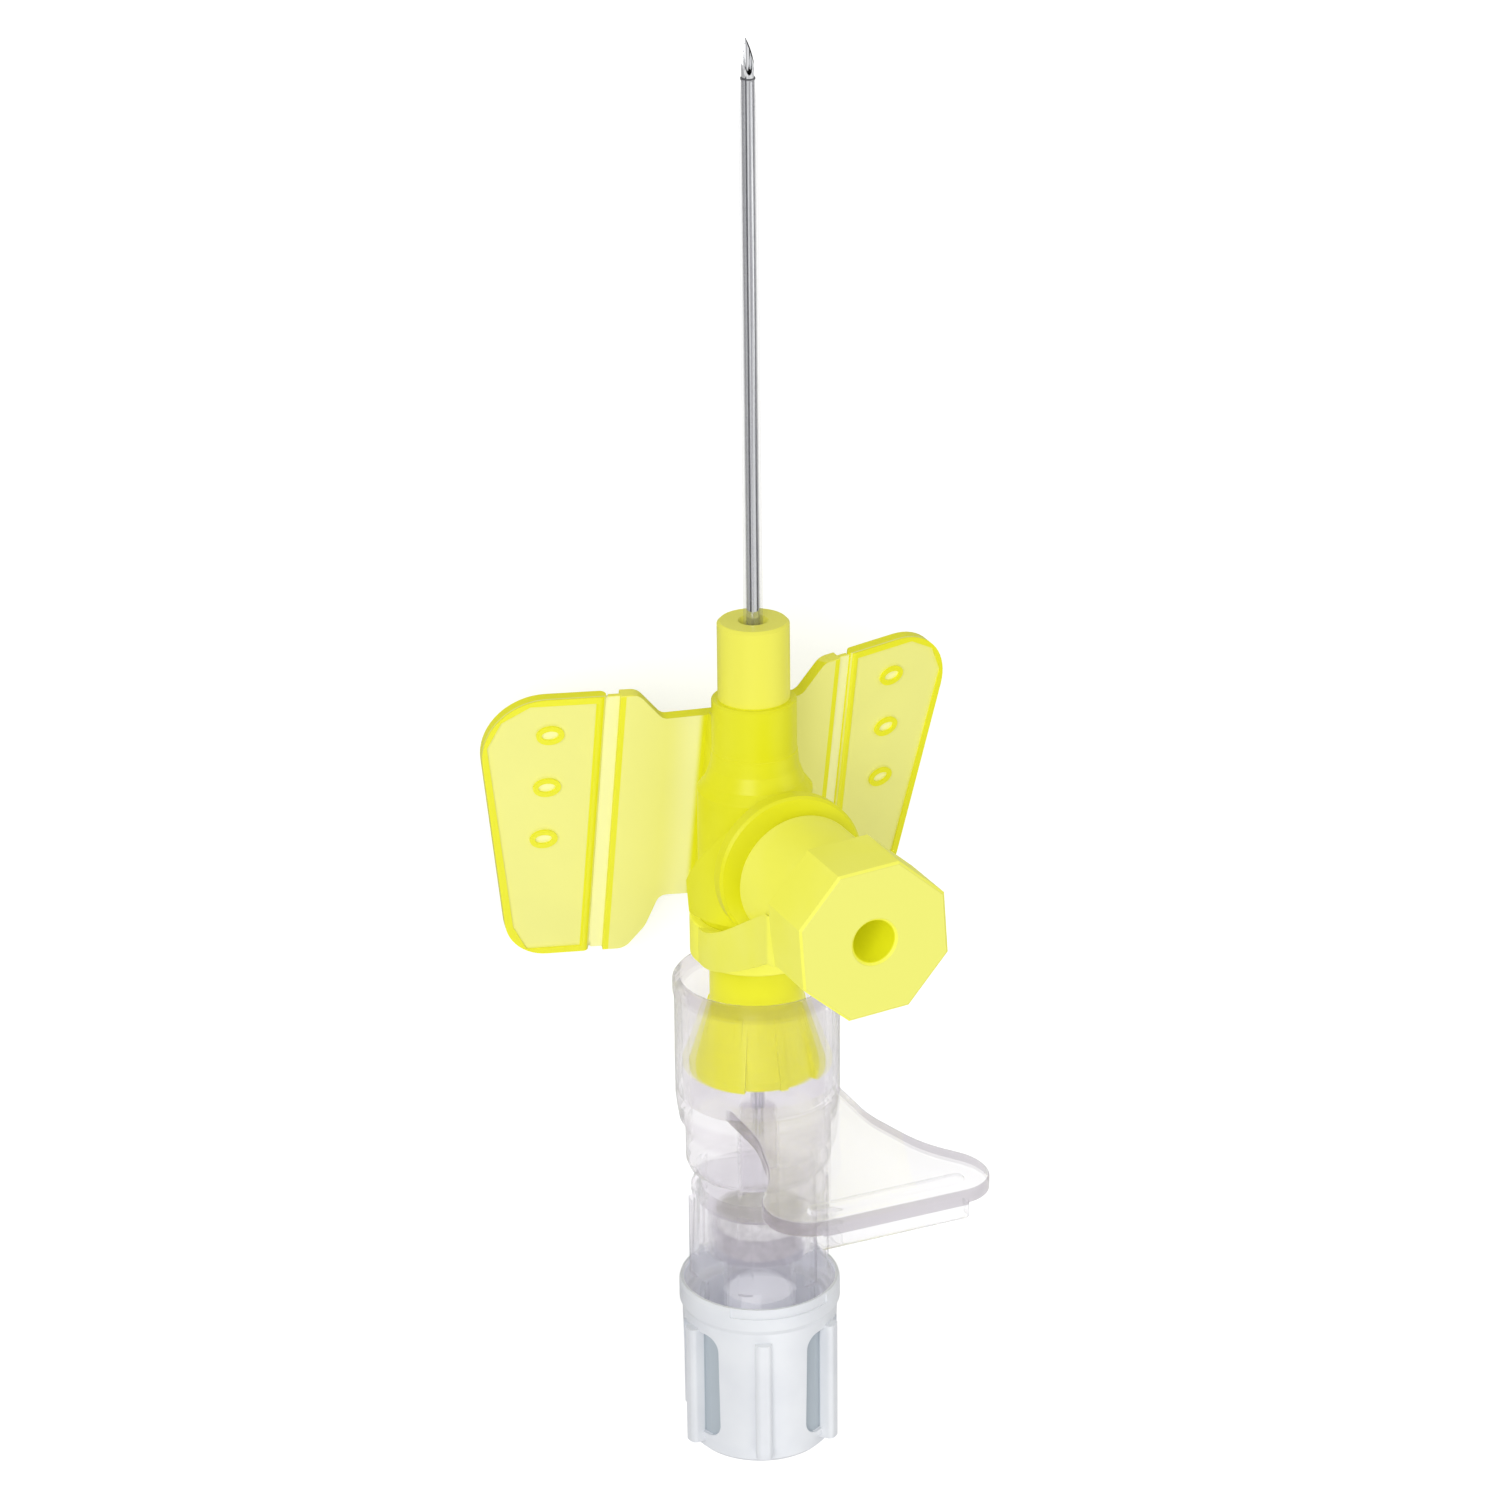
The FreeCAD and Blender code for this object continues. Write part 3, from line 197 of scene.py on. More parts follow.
class WingFace(bpy.types.PropertyGroup):
    """Where the hub and its wings are thin and pale, where their plastic stands deeper, where a
    highlight is painted close to the hub, and where the flare is painted lighter.
    """
    tray: length("Tray", -0.23, "Depth of the thin panel's front face")
    back: length("Back", 0.35, "Depth of the back face")
    hub_reach: length("Hub", 1.9, "Reach at which the inner panel leaves the hub")
    # Painted highlight: within this reach the panel turns to the paler root tint
    root_highlight_reach: length("Root", 4.1, "Reach to which the panel is paler close to the hub")
    inner_edge: length("Inner edge", 6.46, "Reach at which the inner panel's deep edge starts")
    nose_low: length("Nose low", 46.7, "Height at which the hub's nose starts")
    # Under this height the flare is painted lighter, partly for its thin plastic and partly as
    # light lifting the shade inside the sleeve
    foot_high: length("Foot high", 28.2, "Height under which the hub's flare is thin")
    film_start: length("Film start", 6.8, "Reach at which the film starts")
    film_half: length("Film half", 0.16, "Half the thickness within which the film lies")
    pin_reach: length("Pin reach", 10.73, "Reach of the grip rings' middles")
    pin_first: length("First pin", 6.44, "Place along the wing of the first grip ring")
    pin_pitch: length("Pin pitch", 3.5, "Distance from one grip ring to the next")
    pin_long: length("Pin long", 0.5, "Half length of the pale middle of a grip ring")
    pin_wide: length("Pin wide", 0.3, "Half width of the pale middle of a grip ring")


class CapFace(bpy.types.PropertyGroup):
    """Where the port cap has its blind hole, painted in shade, and its front face, painted paler
    as lit.
    """
    height: length("Height", 38.11, "Height of the port's axis")
    hole_radius: length("Hole", 1.24, "Radius of the blind hole")
    hole_floor: length("Hole floor", 10.94, "Reach of the hole's floor from the needle")
    face: length("Face", 15.54, "Reach of the front face from the needle")


class StrapEnd(bpy.types.PropertyGroup):
    """The end of the strap, where it joins the flat side of the port cap."""
    side: length("Side", 4.16, "Distance of the strap's middle from the port's axis")
    start: length("Start", 10.85, "Reach at which the end leaves the strap's tongue")
    crease: length("Crease", 11.25, "Reach at which the end starts to turn into the cap")
    end: length("End", 11.75, "Reach at which the end lies in the cap's flat side")
    sink: length("Sink", 0.22, "How far the end turns inwards into the cap's flat side")
    height: length("Height", 37.3, "Height of the strap's middle")
    width: length("Width", 2.9, "Width of the strap")
    thickness: length("Thickness", 0.48, "Thickness of the strap")
    corner: length("Corner", 0.08, "Bevel of the end's corners")


class Stage(bpy.types.PropertyGroup):
    """Camera, lamps, floor and backdrop."""
    azimuth: angle("Azimuth", -24.12, "Direction the camera looks from")
    elevation: angle("Elevation", 22.38, "Height the camera looks from")
    roll: angle("Roll", -0.59, "Turn of the picture")
    distance: length("Distance", 263.1, "Distance from the camera to its target")
    target_side: length("Target side", -0.245, "Sideways place of the target in the picture")
    target_height: length("Target height", 43.48, "Height of the target")
    lens: FloatProperty(name="Lens", description="Focal length in millimetres", default=113.0)
    floor_colour: colour("Floor", (0.56, 0.56, 0.56), "Colour of the floor and backdrop")
    floor_glow: share("Floor glow", 0.66, "Extra white that the camera sees in the floor")
    floor_drop: length("Floor drop", 0.02, "How far the floor lies under the lowest point")
    world_light: share("World light", 0.62, "Strength of the even light from all round")
    flag_light: share("Flags", 0.03, "What shines back from the dark flags round the table")
    roof_light: share("Roof", 0.60, "What shines back from the grey roof over the table")
    flag_height: share("Flag height", 0.55, "Height of the flags' upper edge, as a sine")
    flag_soft: share("Flag softness", 0.08, "Half the blend at the flags' upper edge, as a sine")
    roof_height: share("Roof height", 0.90, "Height at which the roof starts, as a sine")
    roof_soft: share("Roof softness", 0.03, "Half the blend at the roof's edge, as a sine")
    key_power: FloatProperty(name="Key", description="Power of the key lamp in watts", default=0.9)
    fill_power: FloatProperty(name="Fill", description="Power of the fill lamp in watts",
                              default=0.2)
    foot_power: FloatProperty(name="Foot", description="Power in watts of the lamp at the stopper",
                              default=0.2)


# Shader groups and node helpers

def math_node(tree, operation, first, second=None, third=None, clamp=False):
    """A Math node's result, from sockets or plain numbers."""
    node = tree.nodes.new("ShaderNodeMath")
    node.operation = operation
    node.use_clamp = clamp
    for socket, value in zip(node.inputs, (first, second, third)):
        if value is None:
            continue
        if isinstance(value, (int, float)):
            socket.default_value = value
        else:
            tree.links.new(value, socket)
    return node.outputs[0]


def mix_colours(tree, mask, first, second):
    """Mix two colours, each a socket or a plain colour, by a mask."""
    node = tree.nodes.new("ShaderNodeMix")
    node.data_type = "RGBA"
    factor, low, high = node.inputs[0], node.inputs[6], node.inputs[7]
    tree.links.new(mask, factor)
    for socket, value in ((low, first), (high, second)):
        if hasattr(value, "is_linked"):
            tree.links.new(value, socket)
        else:
            socket.default_value = (*value, 1)
    return node.outputs[2]


def ramp(tree, value, low, high):
    """Map a value from the range low to high onto 0 to 1."""
    node = tree.nodes.new("ShaderNodeMapRange")
    node.interpolation_type = "SMOOTHSTEP"
    tree.links.new(value, node.inputs["Value"])
    node.inputs["From Min"].default_value = low
    node.inputs["From Max"].default_value = high
    return node.outputs["Result"]


def noise(tree, vector, scale, detail=2.0, roughness=0.5):
    node = tree.nodes.new("ShaderNodeTexNoise")
    node.inputs["Scale"].default_value = scale
    node.inputs["Detail"].default_value = detail
    node.inputs["Roughness"].default_value = roughness
    tree.links.new(vector, node.inputs["Vector"])
    return node.outputs["Fac"]


def new_group(name, inputs, outputs):
    """An empty shader group with named inputs and outputs."""
    group = bpy.data.node_groups.new(name, "ShaderNodeTree")
    for label, kind, default in inputs:
        socket = group.interface.new_socket(name=label, in_out="INPUT", socket_type=kind)
        if default is not None:
            socket.default_value = default
    for label, kind in outputs:
        group.interface.new_socket(name=label, in_out="OUTPUT", socket_type=kind)
    start = group.nodes.new("NodeGroupInput")
    end = group.nodes.new("NodeGroupOutput")
    return group, start.outputs, end.inputs


def scaled(tree, vector, amount):
    node = tree.nodes.new("ShaderNodeVectorMath")
    node.operation = "SCALE"
    tree.links.new(vector, node.inputs[0])
    tree.links.new(amount, node.inputs["Scale"])
    return node.outputs[0]


def mould_surface_group():
    """Fine mould texture, slow flow shade and handling marks of a moulded plastic."""
    if "Mould surface" in bpy.data.node_groups:
        return bpy.data.node_groups["Mould surface"]
    group, given, result = new_group("Mould surface", [
        ("Vector", "NodeSocketVector", None),
        ("Grain Size", "NodeSocketFloat", 0.00012),
        ("Flow Size", "NodeSocketFloat", 0.004),
        ("Roughness", "NodeSocketFloat", 0.3),
        ("Marks", "NodeSocketFloat", 0.08),
    ], [
        ("Height", "NodeSocketFloat"),
        ("Flow", "NodeSocketFloat"),
        ("Roughness", "NodeSocketFloat"),
    ])
    per_grain = math_node(group, "DIVIDE", 1.0, given["Grain Size"])
    per_flow = math_node(group, "DIVIDE", 1.0, given["Flow Size"])
    fine = noise(group, scaled(group, given["Vector"], per_grain), 1.0, 2.0, 0.6)
    wave = noise(group, scaled(group, given["Vector"], per_flow), 2.4, 1.0)
    flow = noise(group, scaled(group, given["Vector"], per_flow), 1.0, 3.0)
    height = math_node(group, "MULTIPLY_ADD", fine, 0.35, wave)
    group.links.new(height, result["Height"])
    group.links.new(ramp(group, flow, 0.32, 0.68), result["Flow"])
    spots = math_node(group, "SUBTRACT", wave, 0.5)
    marked = math_node(group, "MULTIPLY", spots, given["Marks"])
    total = math_node(group, "ADD", given["Roughness"], marked, clamp=True)
    group.links.new(total, result["Roughness"])
    return group


def drawn_metal_group():
    """Long drawing lines along Z, as a mask and a height."""
    if "Drawn metal" in bpy.data.node_groups:
        return bpy.data.node_groups["Drawn metal"]
    group, given, result = new_group("Drawn metal", [
        ("Vector", "NodeSocketVector", None),
        ("Line Width", "NodeSocketFloat", 0.00008),
        ("Line Length", "NodeSocketFloat", 0.02),
    ], [
        ("Lines", "NodeSocketFloat"),
        ("Height", "NodeSocketFloat"),
    ])
    split = group.nodes.new("ShaderNodeSeparateXYZ")
    join = group.nodes.new("ShaderNodeCombineXYZ")
    group.links.new(given["Vector"], split.inputs[0])
    for name, size in (("X", "Line Width"), ("Y", "Line Width"), ("Z", "Line Length")):
        stretched = math_node(group, "DIVIDE", split.outputs[name], given[size])
        group.links.new(stretched, join.inputs[name])
    lines = noise(group, join.outputs[0], 1.0, 2.0, 0.55)
    group.links.new(ramp(group, lines, 0.35, 0.7), result["Lines"])
    group.links.new(lines, result["Height"])
    return group


def inverse_place(tree, vector, location, rotation):
    """Carry a place back through a move and a turn."""
    node = tree.nodes.new("ShaderNodeMapping")
    node.vector_type = "TEXTURE"
    node.inputs["Location"].default_value = location
    node.inputs["Rotation"].default_value = rotation
    tree.links.new(vector, node.inputs["Vector"])
    return node.outputs[0]


def standing_place(tree):
    """The place on the surface as if the cannula stood on its stopper."""
    coordinates = tree.nodes.new("ShaderNodeTexCoord")
    return inverse_place(tree, coordinates.outputs["Object"], LAY_PLACE, (LAY_TURN, 0, 0))


def separate(tree, vector):
    node = tree.nodes.new("ShaderNodeSeparateXYZ")
    tree.links.new(vector, node.inputs[0])
    return node.outputs


def from_axis(tree, first, second):
    """The distance from an axis, from the two coordinates across it."""
    squares = [math_node(tree, "MULTIPLY", side, side) for side in (first, second)]
    return math_node(tree, "SQRT", math_node(tree, "ADD", *squares))


def within(tree, value, low, high, soft):
    """1 between two limits, with soft ends."""
    rise = ramp(tree, value, low - soft, low)
    fall = ramp(tree, value, high, high + soft)
    return math_node(tree, "SUBTRACT", rise, fall, clamp=True)


def wing_place_group(film):
    """Where a place lies on its wing: the reach from the root, the depth and the way along."""
    if "Wing place" in bpy.data.node_groups:
        return bpy.data.node_groups["Wing place"]
    group, given, result = new_group("Wing place", [
        ("Vector", "NodeSocketVector", None),
    ], [
        ("Reach", "NodeSocketFloat"),
        ("Depth", "NodeSocketFloat"),
        ("Along", "NodeSocketFloat"),
    ])
    split = separate(group, given["Vector"])
    join = group.nodes.new("ShaderNodeCombineXYZ")
    group.links.new(math_node(group, "ABSOLUTE", split[0]), join.inputs[0])
    group.links.new(split[1], join.inputs[1])
    group.links.new(split[2], join.inputs[2])
    on_root = inverse_place(group, join.outputs[0], (0, film.root_back, film.root_height),
                            (film.pitch, 0, 0))
    on_wing = separate(group, inverse_place(group, on_root, (0, 0, 0), (0, 0, film.droop)))
    for name, value in zip(("Reach", "Depth", "Along"), on_wing):
        group.links.new(value, result[name])
    return group


def place_group(tree, group, **values):
    """Put a group in a material, fed by the standing place and by its own values."""
    node = tree.nodes.new("ShaderNodeGroup")
    node.node_tree = group
    tree.links.new(standing_place(tree), node.inputs["Vector"])
    for name, value in values.items():
        node.inputs[name.replace("_", " ")].default_value = value
    return node


def new_finish(name, roughness, clearness=0.0, index=1.5, metallic=0.0, coat=0.0):
    """A material and its principled shader, with what is the same all over set on the shader."""
    material = bpy.data.materials.new(name)
    material.use_nodes = True
    tree = material.node_tree
    shader = tree.nodes["Principled BSDF"]
    shader.inputs["Roughness"].default_value = roughness
    shader.inputs["Transmission Weight"].default_value = clearness
    shader.inputs["IOR"].default_value = index
    shader.inputs["Metallic"].default_value = metallic
    shader.inputs["Coat Weight"].default_value = coat
    return material, tree, shader


def bump(tree, shader, height, distance):
    """Let a height stand out from the surface."""
    node = tree.nodes.new("ShaderNodeBump")
    node.inputs["Distance"].default_value = distance
    tree.links.new(height, node.inputs["Height"])
    tree.links.new(node.outputs[0], shader.inputs["Normal"])


def moulded_finish(name, deep, pale, roughness, clearness=0.0, index=1.5, grain=0.12, flow=4.0,
                   grain_depth=0.002, marks=0.08, paint=None, coat=0.0, glow=0.0, glow_mask=None):
    """Moulded plastic: two tints mixed by the flow of the melt, painted over by the piece, and
    given a painted glow of its own tint where glow is set.
    """
    material, tree, shader = new_finish(name, roughness, clearness, index, coat=coat)
    surface = place_group(tree, mould_surface_group(), Grain_Size=grain * MM, Flow_Size=flow * MM,
                          Roughness=roughness, Marks=marks)
    tint = mix_colours(tree, surface.outputs["Flow"], deep, pale)
    if paint:
        tint = paint(tree, tint)
    tree.links.new(tint, shader.inputs["Base Color"])
    tree.links.new(surface.outputs["Roughness"], shader.inputs["Roughness"])
    bump(tree, shader, surface.outputs["Height"], grain_depth * MM)
    # Painted glow: the tint, kept only where a glow mask is given, is sent out as emission that
    # lifts the shade
    if glow:
        light = mix_colours(tree, glow_mask(tree), (0, 0, 0), tint) if glow_mask else tint
        tree.links.new(light, shader.inputs["Emission Color"])
        shader.inputs["Emission Strength"].default_value = glow
    return material


def paint_wing(scene):
    """Deep border, pale tray and whitish middles of the grip rings of an outer wing panel."""
    face, look, film = scene.cannula_wing_face, scene.cannula_yellow, scene.cannula_film

    def paint(tree, tint):
        place = place_group(tree, wing_place_group(film)).outputs
        tray = within(tree, place["Depth"], face.tray - FLAT, face.tray + FLAT, SHARP)
        back = ramp(tree, place["Depth"], face.back - SHARP, face.back - SHARP / 2)
        pale = math_node(tree, "ADD", tray, back, clamp=True)
        step = math_node(tree, "SUBTRACT", place["Along"], face.pin_first)
        halfway = math_node(tree, "ADD", step, face.pin_pitch / 2)
        nearest = math_node(tree, "SNAP", halfway, face.pin_pitch)
        along = math_node(tree, "SUBTRACT", step, nearest)
        along = math_node(tree, "DIVIDE", along, face.pin_wide)
        reach = math_node(tree, "SUBTRACT", place["Reach"], face.pin_reach)
        reach = math_node(tree, "DIVIDE", reach, face.pin_long)
        radius = from_axis(tree, along, reach)
        row = within(tree, step, (0.5 - PINS) * face.pin_pitch, 0.5 * face.pin_pitch, SHARP / 2)
        pin = math_node(tree, "SUBTRACT", row, ramp(tree, radius, 0.9, 1.05), clamp=True)
        tint = mix_colours(tree, pale, look.wing_edge, tint)
        return mix_colours(tree, math_node(tree, "MULTIPLY", pin, pale), tint, look.film_tint)

    return paint


def paint_clear(scene):
    """A paler thumb plate with painted shade on its edge, and painted shade on the sleeve's rim
    and foot, as deeper tints.
    """
    look = scene.cannula_clear

    def paint(tree, tint):
        split = separate(tree, standing_place(tree))
        radius = from_axis(tree, split[0], split[1])
        beyond = ramp(tree, radius, look.sleeve_radius, look.sleeve_radius + 0.5 * MM)
        # Painted shade: the thumb plate's edge gets the deep edge tint
        edge = within(tree, split[2], look.plate_low + 3 * SHARP, look.plate_high - 3 * SHARP,
                      2 * SHARP)
        plate = mix_colours(tree, edge, look.plate_tint, look.edge_shade_tint)
        # Painted shade: the sleeve's rim and rounded foot get the deeper rim tint
        rim = ramp(tree, split[2], look.rim_low, look.rim_low + 0.1 * MM)
        foot = within(tree, split[2], look.foot_low, look.foot_high, 0.5 * MM)
        deep = math_node(tree, "ADD", rim, foot, clamp=True)
        return mix_colours(tree, beyond, mix_colours(tree, deep, tint, look.rim_shade_tint), plate)

    return paint


def paint_stopper(scene):
    """Painted shade: grey-blue recesses in the white stopper, found by their smaller radius."""
    look = scene.cannula_white

    def paint(tree, tint):
        split = separate(tree, standing_place(tree))
        radius = from_axis(tree, split[0], split[1])
        # Painted shade: the recess floors get the grey-blue shade colour
        wall = within(tree, radius, look.recess_low_radius, look.recess_high_radius, SHARP)
        high = within(tree, split[2], look.recess_low, look.recess_high, 0.05 * MM)
        return mix_colours(tree, math_node(tree, "MULTIPLY", wall, high), tint, look.recess_shade_colour)

    return paint


def stopper_glow_mask(scene):
    """The inner walls of the stopper, where a painted glow stands in for the light that reaches
    them through its milky wall.
    """
    look = scene.cannula_white

    def glow_mask(tree):
        split = separate(tree, standing_place(tree))
        radius = from_axis(tree, split[0], split[1])
        bore = math_node(tree, "LESS_THAN", radius, look.bore_radius)
        mouth = math_node(tree, "LESS_THAN", radius, look.mouth_radius)
        high = math_node(tree, "GREATER_THAN", split[2], look.mouth_low)
        return math_node(tree, "ADD", bore, math_node(tree, "MULTIPLY", mouth, high), clamp=True)

    return glow_mask


def cut_end_shade_mask(tree, look):
    """The mask of the catheter tube's cut end, where shade is painted."""
    height = separate(tree, standing_place(tree))[2]
    return ramp(tree, height, look.tube_end, look.tube_end + SHARP)


def paint_tube(scene):
    """Painted shade: a dark cut end on the catheter tube."""
    look = scene.cannula_steel

    def paint(tree, tint):
        return mix_colours(tree, cut_end_shade_mask(tree, look), tint, look.tube_end_shade)

    return paint


def paint_cap(scene):
    """Painted shade in the blind hole and a front face painted paler as lit, on the port cap."""
    look, cap = scene.cannula_yellow, scene.cannula_cap_face

    def paint(tree, tint):
        split = separate(tree, standing_place(tree))
        reach = math_node(tree, "MULTIPLY", split[1], -1.0)
        up = math_node(tree, "SUBTRACT", split[2], cap.height)
        radius = from_axis(tree, split[0], up)
        # Painted shade: the blind hole gets the deeper hole colour
        inside = ramp(tree, radius, cap.hole_radius + FLAT, cap.hole_radius)
        past = ramp(tree, reach, cap.hole_floor - 0.1 * MM, cap.hole_floor)
        hole_shade_mask = math_node(tree, "MULTIPLY", inside, past)
        # Painted light: the front face gets the paler face colour
        face = ramp(tree, reach, cap.face - 3 * SHARP, cap.face - SHARP / 2)
        tint = mix_colours(tree, hole_shade_mask, tint, look.hole_shade_colour)
        return mix_colours(tree, face, tint, look.face_light_colour)

    return paint


def paint_hub(scene):
    """Pale inner wing panels with deep edges and a painted highlight close to the hub, and the
    paler film outside them, on the hub; a paler nose, and a flare painted lighter against the
    shade inside the sleeve.
    """
    face, look, film = scene.cannula_wing_face, scene.cannula_yellow, scene.cannula_film

    def paint(tree, tint):
        place = place_group(tree, wing_place_group(film)).outputs
        size = math_node(tree, "ABSOLUTE", place["Depth"])
        thick = ramp(tree, size, face.back, face.back + SHARP)
        thin = math_node(tree, "SUBTRACT", 1.0, thick)
        clear_of_hub = ramp(tree, place["Reach"], face.hub_reach, face.hub_reach + 0.4 * MM)
        wing = math_node(tree, "MULTIPLY", thin, clear_of_hub)
        flat = ramp(tree, size, face.back - SHARP, face.back - SHARP / 2)
        outside = ramp(tree, place["Reach"], face.inner_edge, face.inner_edge + 0.05 * MM)
        inside = math_node(tree, "SUBTRACT", 1.0, outside)
        pale = math_node(tree, "MULTIPLY", flat, inside)
        # Painted highlight: the panel turns paler close to the hub
        near = ramp(tree, place["Reach"], face.root_highlight_reach, face.hub_reach + 0.4 * MM)
        panel = mix_colours(tree, near, look.wing_panel, look.wing_root_highlight)
        panel = mix_colours(tree, pale, look.wing_edge, panel)
        beyond = ramp(tree, place["Reach"], face.film_start, face.film_start + SHARP)
        slim = math_node(tree, "LESS_THAN", size, face.film_half)
        web = math_node(tree, "MULTIPLY", beyond, slim)
        panel = mix_colours(tree, web, panel, look.film_tint)
        tint = mix_colours(tree, wing, tint, panel)
        height = separate(tree, standing_place(tree))[2]
        nose = ramp(tree, height, face.nose_low, face.nose_low + 0.05 * MM)
        # Lighter tint on the flare, partly its thin plastic and partly painted light lifting the
        # shade inside the sleeve
        foot = ramp(tree, height, face.foot_high, face.foot_high - 0.4 * MM)
        tint = mix_colours(tree, nose, tint, look.nose_colour)
        return mix_colours(tree, foot, tint, look.foot_thin_and_lit)

    return paint


def darker(tint, amount):
    """A tint turned down, for the slow flow marks."""
    return [channel * amount for channel in tint]


def dress(node_name, material):
    """Put one finish in every material slot of a CAD node."""
    node = NODES[node_name]
    if not node.material_slots:
        node.data.materials.append(material)
    for place in node.material_slots:
        place.material = material


# Geometry helpers

def finish_piece(mesh, name, material):
    """Turn a bmesh into a piece whose object sits at the origin."""
    bmesh.ops.remove_doubles(mesh, verts=mesh.verts, dist=1e-7)
    bmesh.ops.recalc_face_normals(mesh, faces=mesh.faces)
    data = bpy.data.meshes.new(name)
    mesh.to_mesh(data)
    mesh.free()
    data.shade_smooth()
    piece = bpy.data.objects.new(name, data)
    bpy.context.scene.collection.objects.link(piece)
    data.materials.append(material)
    return piece


def wing_matrix(sizes, side):
    """The plane of one wing: X along the wing, Y through it to the back, Z along the root line."""
    root = Matrix.Translation((0, sizes.root_back, sizes.root_height))
    lean = Matrix.Rotation(sizes.pitch, 4, "X")
    drop = Matrix.Rotation(side * sizes.droop, 4, "Z")
    return LAY @ root @ lean @ drop @ Matrix.Scale(side, 4, Vector((1, 0, 0)))


# Operators, one for each piece or group of like pieces

class CANNULA_OT_finish_catheter_hub(bpy.types.Operator):
    """Give the catheter hub its thick tinted plastic"""
    bl_idname = "cannula.finish_catheter_hub"
    bl_label = "Catheter hub"

    def execute(self, context):
        look = context.scene.cannula_yellow
        hub = moulded_finish("Hub yellow", look.hub_colour, look.hub_pale, look.roughness,
                             look.hub_clearness, look.index, flow=6,
                             paint=paint_hub(context.scene), glow=look.glow)
        for name in YELLOW_THICK:
            dress(name, hub)
        return {"FINISHED"}


class CANNULA_OT_finish_cap_and_strap(bpy.types.Operator):
    """Give the port cap and its strap their satin plastic"""
    bl_idname = "cannula.finish_cap_and_strap"
    bl_label = "Port cap and strap"

    def execute(self, context):
        look = context.scene.cannula_yellow
        solid = moulded_finish("Cap yellow", look.solid_colour, look.solid_pale,
                               look.cap_roughness, index=look.index, flow=5,
                               paint=paint_cap(context.scene), glow=look.cap_glow)
        for name in YELLOW_SOLID:
            dress(name, solid)
        return {"FINISHED"}


class CANNULA_OT_finish_wings(bpy.types.Operator):
    """Give each outer wing panel a pale thin panel and a deep thick border"""
    bl_idname = "cannula.finish_wings"
    bl_label = "Wings"

    def execute(self, context):
        look = context.scene.cannula_yellow
        for name in WINGS:
            wing = moulded_finish(name.replace("_", " ").title(), darker(look.wing_panel, 0.97),
                                  look.wing_panel, look.roughness, look.wing_clearness, look.index,
                                  flow=6, paint=paint_wing(context.scene), glow=look.glow)
            dress(name, wing)
        return {"FINISHED"}


class CANNULA_OT_finish_clear_parts(bpy.types.Operator):
    """Give the needle hub and flash chamber their clear plastic"""
    bl_idname = "cannula.finish_clear_parts"
    bl_label = "Clear parts"

    def execute(self, context):
        look = context.scene.cannula_clear
        clear = moulded_finish("Clear plastic", look.tint_deep, look.tint, look.roughness,
                               look.clearness, look.index, grain=0.6, flow=5, grain_depth=0.0005,
                               marks=0.02, paint=paint_clear(context.scene), coat=look.coat,
                               glow=look.glow)
        clear.node_tree.nodes["Principled BSDF"].inputs["Alpha"].default_value = look.cover
        for name in CLEAR:
            dress(name, clear)
        return {"FINISHED"}


class CANNULA_OT_finish_white_parts(bpy.types.Operator):
    """Give the stopper, vent plug and valve their milky finishes"""
    bl_idname = "cannula.finish_white_parts"
    bl_label = "White parts"

    def execute(self, context):
        look = context.scene.cannula_white
        # The stopper's inner walls get a painted glow that lifts their shade
        stopper = moulded_finish("Stopper white", look.stopper_shade, look.stopper_colour,
                                 look.roughness, look.clearness, flow=4,
                                 paint=paint_stopper(context.scene), glow=look.inner_glow,
                                 glow_mask=stopper_glow_mask(context.scene))
        plug = moulded_finish("Porous plug", darker(look.plug_colour, 0.8), look.plug_colour,
                              roughness=0.75, grain=0.09, flow=0.5, grain_depth=0.03)
        valve = moulded_finish("Valve silicone", look.valve_shade, look.valve_colour,
                               roughness=0.4, clearness=0.5, index=1.41)
        dress("end_stopper", stopper)
        dress("vent_plug", plug)
        dress("port_valve", valve)
        return {"FINISHED"}


class CANNULA_OT_finish_needle(bpy.types.Operator):
    """Give the needle and ferrule drawn steel, and the catheter a translucent wall"""
    bl_idname = "cannula.finish_needle"
    bl_label = "Needle and catheter"

    def execute(self, context):
        look = context.scene.cannula_steel
        material, tree, shader = new_finish("Drawn steel", look.roughness, metallic=1.0)
        lines = place_group(tree, drawn_metal_group())
        mask = ramp(tree, lines.outputs["Lines"], 0.2, 1.0)
        drawn = mix_colours(tree, mask, look.colour, look.colour_dark)
        tree.links.new(drawn, shader.inputs["Base Color"])
        rough = math_node(tree, "MULTIPLY_ADD", lines.outputs["Lines"], look.line_roughness,
                          look.roughness)
        tree.links.new(rough, shader.inputs["Roughness"])
        bump(tree, shader, lines.outputs["Height"], look.line_depth)
        dress("introducer_needle", material)
        dress("ferrule", material)
        tube = moulded_finish("Catheter tube", darker(look.tube_tint, 0.93), look.tube_tint,
                              roughness=0.1, grain=0.3, flow=3, grain_depth=0.001,
                              paint=paint_tube(context.scene))
        tree = tube.node_tree
        # Painted shade: the cut end is made nearly opaque so its dark tint shows
        cover = math_node(tree, "MULTIPLY_ADD", cut_end_shade_mask(tree, look),
                          look.tube_end_shade_cover - look.tube_cover, look.tube_cover)
        tree.links.new(cover, tree.nodes["Principled BSDF"].inputs["Alpha"])
        dress("catheter_tube", tube)
        return {"FINISHED"}


